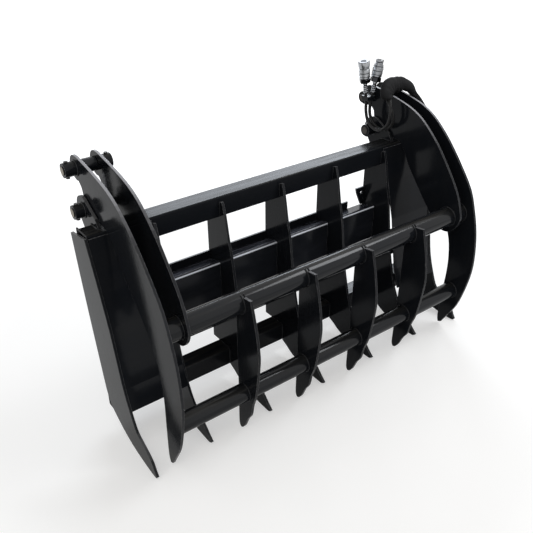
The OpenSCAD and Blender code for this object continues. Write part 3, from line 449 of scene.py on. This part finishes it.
# Edge mask: where the normal rounded over the reach leaves the face's own normal
rounded = add_node(worn_and_highlit_coat, "ShaderNodeBevel", {"Radius": given.outputs["Reach"]}, samples=6)
agree = add_node(worn_and_highlit_coat, "ShaderNodeVectorMath",
                 {0: rounded.outputs["Normal"], 1: shape.outputs["True Normal"]},
                 operation="DOT_PRODUCT")
leaves = add_node(worn_and_highlit_coat, "ShaderNodeMapRange", {"Value": agree.outputs["Value"],
                                                    "From Min": 0.992, "From Max": 0.80})
chips = add_node(worn_and_highlit_coat, "ShaderNodeTexNoise", {"Vector": place.outputs["Object"], "Scale": 55.0,
                                                   "Detail": 7.0, "Roughness": 0.65})
chipped = add_node(worn_and_highlit_coat, "ShaderNodeMapRange", {"Value": chips.outputs["Fac"],
                                                     "From Min": 0.30, "From Max": 0.62})
edge = add_node(worn_and_highlit_coat, "ShaderNodeMath", {0: leaves.outputs["Result"],
                                              1: chipped.outputs["Result"]}, operation="MULTIPLY")
# Edge wear, whose grey also stands in for painted highlights along the edges
worn_and_highlit = add_node(worn_and_highlit_coat, "ShaderNodeMath", {0: edge.outputs[0], 1: given.outputs["Wear And Highlight"]},
                operation="MULTIPLY", use_clamp=True)
# Painted highlight: a plate's flame-cut edge faces are painted pale where they face up, standing in for
# the sky's reflection
tilt = add_node(worn_and_highlit_coat, "ShaderNodeSeparateXYZ", {0: shape.outputs["Normal"]})
sideways = add_node(worn_and_highlit_coat, "ShaderNodeMath", {0: tilt.outputs["X"]}, operation="ABSOLUTE")
on_edge = add_node(worn_and_highlit_coat, "ShaderNodeMapRange", {"Value": sideways.outputs[0],
                                                     "From Min": 0.5, "From Max": 0.3})
skyward = add_node(worn_and_highlit_coat, "ShaderNodeMapRange", {"Value": tilt.outputs["Z"], "From Min": 0.64,
                                                     "From Max": 0.99, "To Min": 0.04},
                   interpolation_type="SMOOTHSTEP")
cut_face = add_node(worn_and_highlit_coat, "ShaderNodeMath", {0: on_edge.outputs["Result"],
                                                  1: skyward.outputs["Result"]},
                    operation="MULTIPLY")
cut_face = add_node(worn_and_highlit_coat, "ShaderNodeMath", {0: cut_face.outputs[0],
                                                  1: given.outputs["Edge Highlight"]}, operation="MULTIPLY")
# The bosses round the jaw's two pin axes are turned smooth and get no painted edge highlight, so they
# stay dark like the plate's faces
side_view = add_node(worn_and_highlit_coat, "ShaderNodeVectorMath", {0: place.outputs["Object"],
                                                         1: (0.0, 1.0, 1.0)}, operation="MULTIPLY")
for pin_y, pin_z in pin_axes:
    from_pin = add_node(worn_and_highlit_coat, "ShaderNodeVectorMath", {0: side_view.outputs["Vector"],
                                                            1: (0.0, pin_y, pin_z)},
                        operation="DISTANCE")
    off_boss = add_node(worn_and_highlit_coat, "ShaderNodeMapRange", {"Value": from_pin.outputs["Value"],
                                                          "From Min": boss_reach,
                                                          "From Max": boss_reach + 0.002})
    cut_face = add_node(worn_and_highlit_coat, "ShaderNodeMath", {0: cut_face.outputs[0],
                                                      1: off_boss.outputs["Result"]},
                        operation="MULTIPLY")
# Painted highlight: a folded sheet's outer bend, between its upright face and its top, is painted pale as
# the sky's reflection there
into_bend = add_node(worn_and_highlit_coat, "ShaderNodeMapRange", {"Value": tilt.outputs["Z"], "From Min": 0.12,
                                                       "From Max": 0.30})
past_bend = add_node(worn_and_highlit_coat, "ShaderNodeMapRange", {"Value": tilt.outputs["Z"], "From Min": 0.80,
                                                       "From Max": 0.62})
bend_face = add_node(worn_and_highlit_coat, "ShaderNodeMath", {0: into_bend.outputs["Result"],
                                                   1: past_bend.outputs["Result"]},
                     operation="MULTIPLY")
bend_face = add_node(worn_and_highlit_coat, "ShaderNodeMath", {0: bend_face.outputs[0],
                                                   1: given.outputs["Bend Highlight"]}, operation="MULTIPLY")
painted_highlights = add_node(worn_and_highlit_coat, "ShaderNodeMath", {0: cut_face.outputs[0], 1: bend_face.outputs[0]},
                operation="MAXIMUM")
# Dust lies on what faces up, in soft patches
level = add_node(worn_and_highlit_coat, "ShaderNodeMapRange", {"Value": tilt.outputs["Z"], "From Min": 0.35,
                                                   "From Max": 1.0, "To Min": 0.10, "To Max": 0.75})
drawn = add_node(worn_and_highlit_coat, "ShaderNodeMapping", {"Vector": place.outputs["Object"],
                                                  "Scale": (0.8, 14.0, 4.0)})
patches = add_node(worn_and_highlit_coat, "ShaderNodeTexNoise", {"Vector": drawn.outputs["Vector"], "Scale": 2.5,
                                                     "Detail": 8.0, "Roughness": 0.6})
patchy = add_node(worn_and_highlit_coat, "ShaderNodeMapRange", {"Value": patches.outputs["Fac"],
                                                    "From Min": 0.38, "From Max": 0.70})
dusty = add_node(worn_and_highlit_coat, "ShaderNodeMath", {0: level.outputs["Result"],
                                               1: patchy.outputs["Result"]}, operation="MULTIPLY")
soiled = add_node(worn_and_highlit_coat, "ShaderNodeMix", {"Factor": dusty.outputs[0],
                                               "A": given.outputs["Coat"],
                                               "B": given.outputs["Dust"]}, data_type="RGBA")
# Edge wear and the painted highlights both lift the colour towards the edge colour
wear_and_highlights = add_node(worn_and_highlit_coat, "ShaderNodeMath", {0: worn_and_highlit.outputs[0], 1: painted_highlights.outputs[0]},
                  operation="MAXIMUM", use_clamp=True)
colour = add_node(worn_and_highlit_coat, "ShaderNodeMix", {"Factor": wear_and_highlights.outputs[0],
                                               "A": soiled.outputs["Result"],
                                               "B": given.outputs["Edge"]}, data_type="RGBA")
# Roughness: the gloss, dulled by dust and more by wear
dulled = add_node(worn_and_highlit_coat, "ShaderNodeMath", {0: dusty.outputs[0], 1: 0.22,
                                                2: given.outputs["Gloss"]},
                  operation="MULTIPLY_ADD")
rough = add_node(worn_and_highlit_coat, "ShaderNodeMath", {0: worn_and_highlit.outputs[0], 1: 0.15, 2: dulled.outputs[0]},
                 operation="MULTIPLY_ADD")
# Height: the sprayed film's orange peel, and small runs in it
peel = add_node(worn_and_highlit_coat, "ShaderNodeTexNoise", {"Vector": place.outputs["Object"], "Scale": 190.0,
                                                  "Detail": 2.0})
swell = add_node(worn_and_highlit_coat, "ShaderNodeTexNoise", {"Vector": place.outputs["Object"], "Scale": 24.0,
                                                   "Detail": 2.0})
height = add_node(worn_and_highlit_coat, "ShaderNodeMath", {0: swell.outputs["Fac"], 1: 2.0,
                                                2: peel.outputs["Fac"]}, operation="MULTIPLY_ADD")
add_node(worn_and_highlit_coat, "NodeGroupOutput", {
    "Colour": colour.outputs["Result"], "Roughness": rough.outputs[0], "Height": height.outputs[0],
    "Edge Normal": rounded.outputs["Normal"]})


def coated_steel(name, coat, dust, edge, gloss, wear_and_highlight, reach, specular, metallic=0.0,
                 relief=0.00025, cut=0.0, bend=0.0):
    """A steel finish from the shared coat of wear, dust and painted highlights, with its own colours.

    gloss is its roughness when clean, reach how far wear and the painted edge highlight go in from an
    edge, relief the film's height, and cut and bend how strong the painted highlights on
    its upward edge faces and on its folds are.
    """
    material, tree, shader = new_material(name)
    coat_node = add_node(tree, "ShaderNodeGroup", node_tree=worn_and_highlit_coat)
    values = {"Coat": coat, "Dust": dust, "Edge": edge, "Gloss": gloss, "Wear And Highlight": wear_and_highlight,
              "Reach": reach, "Edge Highlight": cut, "Bend Highlight": bend}
    for label, value in values.items():
        coat_node.inputs[label].default_value = value
    bump = add_node(tree, "ShaderNodeBump", {
        "Strength": 0.5, "Distance": relief, "Height": coat_node.outputs["Height"],
        "Normal": coat_node.outputs["Edge Normal"]})
    shader.inputs["Specular IOR Level"].default_value = specular
    shader.inputs["Metallic"].default_value = metallic
    tree.links.new(coat_node.outputs["Colour"], shader.inputs["Base Color"])
    tree.links.new(coat_node.outputs["Roughness"], shader.inputs["Roughness"])
    tree.links.new(bump.outputs["Normal"], shader.inputs["Normal"])
    return material


def black_paint(name, dust=paint_dusty, edge=edge_grey_and_highlight, gloss=0.13, wear_and_highlight=0.9, specular=0.14, **more):
    """The rake's sprayed black paint, with whatever differs from its plain kind."""
    return coated_steel(name, paint_black, dust, edge, gloss, wear_and_highlight, edge_reach, specular, **more)


gloss_black = black_paint("gloss_black")
weld_black = black_paint("weld_black", gloss=0.20, wear_and_highlight=0.0, specular=0.25)
# The top beam's paint is older and flatter, so it mirrors less than the rest
beam_black = black_paint("beam_black", gloss=0.17, specular=0.05)
# Plates get a painted highlight on their upward flame-cut edges, the arms' brightest, and the folded
# sheets one along their bend
cut_plate = black_paint("cut_plate", cut=0.38)
arm_plate = black_paint("arm_plate", edge=(0.34, 0.34, 0.36, 1), wear_and_highlight=0.7, cut=0.95)
# The folded sheets' pale blue edge colour is their painted bend highlight, and their pale blue dust also
# paints a highlight on the ledge's top
folded_sheet = black_paint("folded_sheet", dust=(0.10, 0.105, 0.13, 1), edge=(0.78, 0.81, 0.88, 1),
                           wear_and_highlight=0.5, bend=0.95)
# Drawn tube is smoother than plate, so its paint mirrors in sharper lines
tube_black = black_paint("tube_black", gloss=0.10, specular=0.25, relief=0.00008)
finish_by_start = {
    "jaw_tine": cut_plate, "frame_tine": cut_plate, "side_plate": cut_plate, "bracket_": cut_plate,
    "arm_": arm_plate, "front_plate": folded_sheet, "top_beam": beam_black,
    "jaw_upper_tube": tube_black, "jaw_lower_tube": tube_black}
for subpart in frame["record"]["subparts"]:
    if subpart["material_slot"] == "black_paint":
        fits = [f for start, f in finish_by_start.items() if subpart["node"].startswith(start)]
        frame["nodes"][subpart["node"]].material_slots[0].material = (fits + [gloss_black])[0]

# The pins are turned bar with dark oiled sides and bare, rust-tinged end faces. Their keeper bolts
# are dark too. The elbows are zinc plated, and the hose clamp is painted with the arm.
dull_zinc = coated_steel("dull_zinc", (0.34, 0.32, 0.28, 1), (0.10, 0.085, 0.06, 1),
                         (0.55, 0.53, 0.48, 1), gloss=0.34, wear_and_highlight=0.8, reach=0.0012, specular=0.5,
                         metallic=0.85)
dark_bolts = coated_steel("dark_bolts", (0.022, 0.021, 0.02, 1), (0.05, 0.045, 0.035, 1),
                          (0.30, 0.28, 0.25, 1), gloss=0.30, wear_and_highlight=0.9, reach=0.0010, specular=0.4)
pin_steel = coated_steel("pin_steel", (0.02, 0.019, 0.018, 1), (0.05, 0.045, 0.035, 1),
                         (0.30, 0.28, 0.25, 1), gloss=0.28, wear_and_highlight=0.4, reach=0.0012, specular=0.4)
tree = pin_steel.node_tree
coat_node = next(n for n in tree.nodes if n.type == "GROUP")
shape = add_node(tree, "ShaderNodeNewGeometry")
facing = add_node(tree, "ShaderNodeSeparateXYZ", {0: shape.outputs["True Normal"]})
end_face = add_node(tree, "ShaderNodeMath", {0: facing.outputs["X"]}, operation="ABSOLUTE")
bare = add_node(tree, "ShaderNodeMapRange", {"Value": end_face.outputs[0], "From Min": 0.9,
                                             "From Max": 0.95})
# The right side's end faces are darker and browner than the left side's
place = add_node(tree, "ShaderNodeTexCoord")
which_side = add_node(tree, "ShaderNodeSeparateXYZ", {0: place.outputs["Object"]})
on_right_side = add_node(tree, "ShaderNodeMapRange", {"Value": which_side.outputs["X"], "From Min": -0.1,
                                             "From Max": 0.1})
end_tint = add_node(tree, "ShaderNodeMix", {"Factor": on_right_side.outputs["Result"],
                                            "A": (0.30, 0.26, 0.19, 1),
                                            "B": (0.045, 0.036, 0.028, 1)}, data_type="RGBA")
tint = add_node(tree, "ShaderNodeMix", {"Factor": bare.outputs["Result"],
                                        "A": coat_node.outputs["Colour"],
                                        "B": end_tint.outputs["Result"]}, data_type="RGBA")
tree.links.new(tint.outputs["Result"], tree.nodes["Principled BSDF"].inputs["Base Color"])
for name in ("pivot_pin_left", "pivot_pin_right", "base_pin_left", "base_pin_right",
             "rod_pin_left", "rod_pin_right"):
    frame["nodes"][name].material_slots[0].material = pin_steel
for name in ("pivot_bolts", "rod_pin_bolts"):
    frame["nodes"][name].material_slots[0].material = dark_bolts
frame["nodes"]["hose_elbows"].material_slots[0].material = dull_zinc
frame["nodes"]["hose_clamp"].material_slots[0].material = weld_black

# The cylinder rods are ground bar with bright hard chrome on it. The eye on each rod's end is a
# forging, which was painted black before it was welded on.
eye_foot_z = 0.712
hard_chrome = coated_steel("hard_chrome", (0.62, 0.63, 0.66, 1), (0.42, 0.41, 0.39, 1),
                           (0.75, 0.75, 0.76, 1), gloss=0.06, wear_and_highlight=0.3, reach=0.0008, specular=0.3,
                           metallic=1.0, relief=0.00002)
tree = hard_chrome.node_tree
shader = tree.nodes["Principled BSDF"]
coat_node = next(n for n in tree.nodes if n.type == "GROUP")
place = add_node(tree, "ShaderNodeTexCoord")
height = add_node(tree, "ShaderNodeSeparateXYZ", {0: place.outputs["Object"]})
# The eye begins at this height when the jaw is closed
eye = add_node(tree, "ShaderNodeMapRange", {"Value": height.outputs["Z"], "From Min": eye_foot_z,
                                            "From Max": eye_foot_z + 0.002})
tint = add_node(tree, "ShaderNodeMix", {"Factor": eye.outputs["Result"],
                                        "A": coat_node.outputs["Colour"], "B": paint_black},
                data_type="RGBA")
metal = add_node(tree, "ShaderNodeMapRange", {"Value": eye.outputs["Result"], "To Min": 1.0,
                                              "To Max": 0.0})
dull = add_node(tree, "ShaderNodeMath", {0: eye.outputs["Result"], 1: 0.12,
                                         2: coat_node.outputs["Roughness"]},
                operation="MULTIPLY_ADD")
tree.links.new(tint.outputs["Result"], shader.inputs["Base Color"])
tree.links.new(metal.outputs["Result"], shader.inputs["Metallic"])
tree.links.new(dull.outputs[0], shader.inputs["Roughness"])
for name in ("rod_left", "rod_right"):
    frame["nodes"][name].material_slots[0].material = hard_chrome

# The plates are joined by fillet welds, laid by hand in short overlapping pools and painted over.
# Each bead runs in the corner between two pieces, so half of it lies inside the steel.
weld_r = 0.0042
pool_step = 0.0036
weld_step = 0.0018
weld_sides = 6


def bead_rings(path, closed):
    """Rings of a bead: its radius follows the sine of each pool, and the root of the way to an end."""
    run = run_length(path)
    count = max(int(run[-1] / weld_step), 6)
    at = np.linspace(0, run[-1], count)
    even = np.stack([np.interp(at, run, path[:, k]) for k in range(3)], axis=1)
    pools = np.abs(np.sin(at * np.pi / pool_step))
    radius = weld_r * (0.84 + 0.20 * pools + 0.05 * np.sin(at * 61.0))
    if not closed:
        ends = np.minimum(at, run[-1] - at) / (2 * weld_r)
        radius = radius * np.clip(ends, 0.12, 1.0) ** 0.5
    # No bead on the rake runs in this direction
    up = (0.31, 0.52, 0.79)
    return rings_along(even, radius[:, None], weld_sides, up)


def weld_piece(name, runs, body):
    """One mesh of all the beads on a body: the open runs are capped and the closed ones joined."""
    points, faces, first = [], [], 0
    for path, closed in runs:
        rings = bead_rings(np.asarray(path, float), closed)
        rows = len(rings) - (1 if closed else 0)
        rings = rings[:rows]
        points.append(rings.reshape(-1, 3))
        faces += grid_faces(rows, weld_sides, first, rows_close=closed).tolist()
        if not closed:
            last = first + (rows - 1) * weld_sides
            faces.append(list(range(first, first + weld_sides))[::-1])
            faces.append(list(range(last, last + weld_sides)))
        first += rows * weld_sides
    return add_piece(name, np.vstack(points), faces, body, weld_black)


def round_run(x, y, z, r, start=0, end=360):
    """A run round a tube along X: a circle, or an arc of it, in the plane at x."""
    turn = np.radians(np.linspace(start, end, max(int((end - start) / 6), 8) + 1))
    path = np.stack([np.full_like(turn, x), y + r * np.cos(turn), z + r * np.sin(turn)], axis=1)
    return path, end - start == 360


def straight_run(*corners):
    """An open run through corner points, with 24 even steps from each one to the next."""
    corners = np.asarray(corners, float)
    steps = [np.linspace(a, b, 24, endpoint=False) for a, b in zip(corners[:-1], corners[1:])]
    return np.vstack(steps + [corners[-1:]]), False


tine_x = [float(np.mean([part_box("frame_tine_%d" % i)[k][0] for k in (0, 1)])) for i in range(1, 6)]
half_t = (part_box("frame_tine_3")[1][0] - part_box("frame_tine_3")[0][0]) / 2
beam_lo, beam_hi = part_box("top_beam")
low_lo, low_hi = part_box("lower_beam")
plate_lo, plate_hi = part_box("front_plate_1")
tine_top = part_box("frame_tine_3")[1][2]
# A bead's middle stands this far out of the corner that it fills
corner = 0.0012
# The beads on each side of a tine, as Y and Z at both ends: down the top beam's front face and
# along its underside, then up the lower beam's front face and along its top
tine_beads = (
    ((beam_lo[1] - corner, tine_top - 0.004), (beam_lo[1] - corner, beam_lo[2] + 0.006)),
    ((beam_lo[1] + 0.010, beam_lo[2] - corner), (beam_hi[1] - 0.012, beam_lo[2] - corner)),
    ((low_lo[1] - corner, low_lo[2] + 0.008), (low_lo[1] - corner, low_hi[2] - 0.006)),
    ((low_lo[1] + 0.008, low_hi[2] + corner), (low_hi[1] - 0.004, low_hi[2] + corner)))
frame_runs = []
for x in tine_x:
    for side in (-1, 1):
        sx = x + side * (half_t + corner)
        for start, stop in tine_beads:
            frame_runs.append(straight_run((sx, *start), (sx, *stop)))
# The front plates are stitched to the tines with three runs a side. The outer tines have them on
# their inward side alone, where a plate is.
stitches = ((-0.100, -0.045), (0.000, 0.055), (0.105, 0.165))
stitch_y = plate_lo[1] - corner
for x in tine_x:
    for side in (-1, 1):
        if abs(x + side * half_t) <= abs(tine_x[0]):
            sx = x + side * (half_t + corner)
            for low, high in stitches:
                frame_runs.append(straight_run((sx, stitch_y, low), (sx, stitch_y, high)))
# The beams' ends are welded all round to the side plates
for side in (-1, 1):
    sx = side * (beam_hi[0] - corner)
    for lo, hi in ((beam_lo, beam_hi), (low_lo, low_hi)):
        front, back, under, top = lo[1] - corner, hi[1] + corner, lo[2] - corner, hi[2] + corner
        frame_runs.append(straight_run((sx, front, under), (sx, back, under), (sx, back, top),
                                       (sx, front, top), (sx, front, under)))
# The pivot brackets are welded along the top beam's upper and rear faces. A bracket's box takes in
# its boss, which stands out on the side away from the arm, so the plate is on the box's other side.
for side, way in (("left", -1), ("right", 1)):
    for name in ("bracket_outer_", "bracket_inner_"):
        near, far = sorted(abs(corner_at[0]) for corner_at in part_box(name + side))
        faces = (near, near + half_t * 2) if "outer" in name else (far - half_t * 2, far)
        for face, out in zip(faces, (-1, 1)):
            sx = way * (face + out * corner)
            frame_runs.append(straight_run(
                (sx, beam_hi[1] - 0.068, beam_hi[2] + corner), (sx, beam_hi[1], beam_hi[2] + corner),
                (sx, beam_hi[1] + corner, beam_hi[2]), (sx, beam_hi[1] + corner, beam_lo[2] + 0.03)))


def bead_ring(axis_piece, round_piece):
    """Y and Z of a piece's middle, and a radius: half a round piece's depth plus the corner."""
    lo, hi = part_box(axis_piece)
    round_lo, round_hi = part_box(round_piece)
    return (lo[1] + hi[1]) / 2, (lo[2] + hi[2]) / 2, (round_hi[1] - round_lo[1]) / 2 + corner


# The bosses are welded to the ears' faces that turn away from the arm
pivot_boss = bead_ring("pivot_pin_left", "pivot_hubs_left")
bracket_out, bracket_in = 0.935, 0.7972
for side in (-1, 1):
    for sx in (bracket_out + corner, bracket_in - corner):
        frame_runs.append(round_run(side * sx, *pivot_boss))
weld_piece("frame_welds", frame_runs, "frame")

# The jaw is welded too: its tines to both tubes, the tubes to the arms and the bosses to the arms.
# A tine laps only the front side of the upper tube, so its bead there is an arc.
rod_boss = bead_ring("rod_pin_left", "pivot_hubs_left")
upper_ring = bead_ring("jaw_upper_tube", "jaw_upper_tube")
lower_ring = bead_ring("jaw_lower_tube", "jaw_lower_tube")
lap_from, lap_to = 108, 264
# The two faces of an arm's outer plate, and of its inner plate
arm_in, arm_out = 0.90565, 0.91835
inner_in, inner_out = 0.81395, 0.82665
jaw_runs = []
for i in range(1, 5):
    lo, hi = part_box("jaw_tine_%d" % i)
    for sx in (lo[0] - corner, hi[0] + corner):
        jaw_runs.append(round_run(sx, *upper_ring, lap_from, lap_to))
        jaw_runs.append(round_run(sx, *lower_ring))
for side in (-1, 1):
    jaw_runs.append(round_run(side * (arm_in - corner), *upper_ring))
    jaw_runs.append(round_run(side * (arm_in - corner), *lower_ring))
    for sx in (inner_in - corner, inner_out + corner):
        jaw_runs.append(round_run(side * sx, *upper_ring))
    for sx in (arm_out + corner, inner_in - corner):
        jaw_runs.append(round_run(side * sx, *rod_boss))
    for sx in (arm_in - corner, inner_out + corner):
        jaw_runs.append(round_run(side * sx, *pivot_boss))
weld_piece("jaw_welds", jaw_runs, "jaw")

# The floor is a plain pale studio floor. Camera and mirror rays see it brighter than it is lit,
# and more so further from the rake, so it ends as white paper does and keeps the rake's shadow.
floor_z = float(cad_box[0][2])
floor_reach = 30.0
floor_corners = [(floor_reach * x, floor_reach * y, floor_z)
                 for x, y in ((-1, -1), (1, -1), (1, 1), (-1, 1))]
floor_mesh = bpy.data.meshes.new("floor")
floor_mesh.from_pydata(floor_corners, [], [(0, 1, 2, 3)])
floor = bpy.data.objects.new("floor", floor_mesh)
bpy.context.scene.collection.objects.link(floor)
floor_white, tree, shader = new_material("floor_white")
shader.inputs["Base Color"].default_value = (0.64, 0.635, 0.625, 1)
shader.inputs["Roughness"].default_value = 0.9
shader.inputs["Specular IOR Level"].default_value = 0.0
shader.inputs["Emission Color"].default_value = (1, 1, 1, 1)
rays = add_node(tree, "ShaderNodeLightPath")
mirrored = add_node(tree, "ShaderNodeMath", {0: rays.outputs["Is Glossy Ray"],
                                             1: rays.outputs["Is Transmission Ray"]},
                    operation="MAXIMUM")
seen = add_node(tree, "ShaderNodeMath", {0: mirrored.outputs[0], 1: 0.35,
                                         2: rays.outputs["Is Camera Ray"]},
                operation="MULTIPLY_ADD", use_clamp=True)
place = add_node(tree, "ShaderNodeTexCoord")
reach = add_node(tree, "ShaderNodeVectorMath", {0: place.outputs["Object"]}, operation="LENGTH")
far = add_node(tree, "ShaderNodeMapRange", {"Value": reach.outputs["Value"], "From Min": 1.6,
                                            "From Max": 4.0, "To Min": 0.43, "To Max": 0.80})
lift = add_node(tree, "ShaderNodeMath", {0: seen.outputs[0], 1: far.outputs["Result"]},
                operation="MULTIPLY")
tree.links.new(lift.outputs[0], shader.inputs["Emission Strength"])
floor_mesh.materials.append(floor_white)

# The light is plain and soft: a white surround that lights the rake at half of what is seen of it,
# a large panel behind the rake on the right, whose light glances off every upper face, a second
# one over its right end, and a smaller and warmer one over the camera's left.
world = bpy.data.worlds.new("world")
bpy.context.scene.world = world
world.use_nodes = True
tree = world.node_tree
background = tree.nodes["Background"]
background.inputs["Color"].default_value = (1, 1, 1, 1)
rays = add_node(tree, "ShaderNodeLightPath")
seen = add_node(tree, "ShaderNodeMath", {0: rays.outputs["Is Camera Ray"],
                                         1: rays.outputs["Is Glossy Ray"]}, operation="MAXIMUM")
seen = add_node(tree, "ShaderNodeMath", {0: seen.outputs[0],
                                         1: rays.outputs["Is Transmission Ray"]}, operation="MAXIMUM")
level = add_node(tree, "ShaderNodeMapRange", {"Value": seen.outputs[0], "To Min": 0.55,
                                              "To Max": 1.0})
tree.links.new(level.outputs["Result"], background.inputs["Strength"])


def panel_light(name, place, target, width, height, radiance, tint):
    """A soft panel lamp: its power is its radiance times pi times its area."""
    lamp_data = bpy.data.lights.new(name, "AREA")
    lamp_data.shape = "RECTANGLE"
    lamp_data.size = width
    lamp_data.size_y = height
    lamp_data.energy = radiance * math.pi * width * height
    lamp_data.color = tint
    lamp = bpy.data.objects.new(name, lamp_data)
    bpy.context.scene.collection.objects.link(lamp)
    lamp.location = place
    lamp.rotation_euler = (Vector(target) - Vector(place)).to_track_quat("-Z", "Y").to_euler()
    lamp.visible_camera = False
    return lamp


rake_middle = (0, -0.2, 0.1)
panel_light("far_panel", (2.9, 4.0, 2.9), rake_middle, 3.8, 1.7, 8.0, (0.86, 0.92, 1.0))
panel_light("over_panel", (2.3, -1.3, 3.4), rake_middle, 1.6, 1.4, 8.0, (0.95, 0.97, 1.0))
panel_light("near_panel", (-2.4, -2.6, 3.6), rake_middle, 1.3, 1.3, 4.4, (1.0, 0.96, 0.87))

scene_view = bpy.context.scene.view_settings
scene_view.view_transform = "Standard"
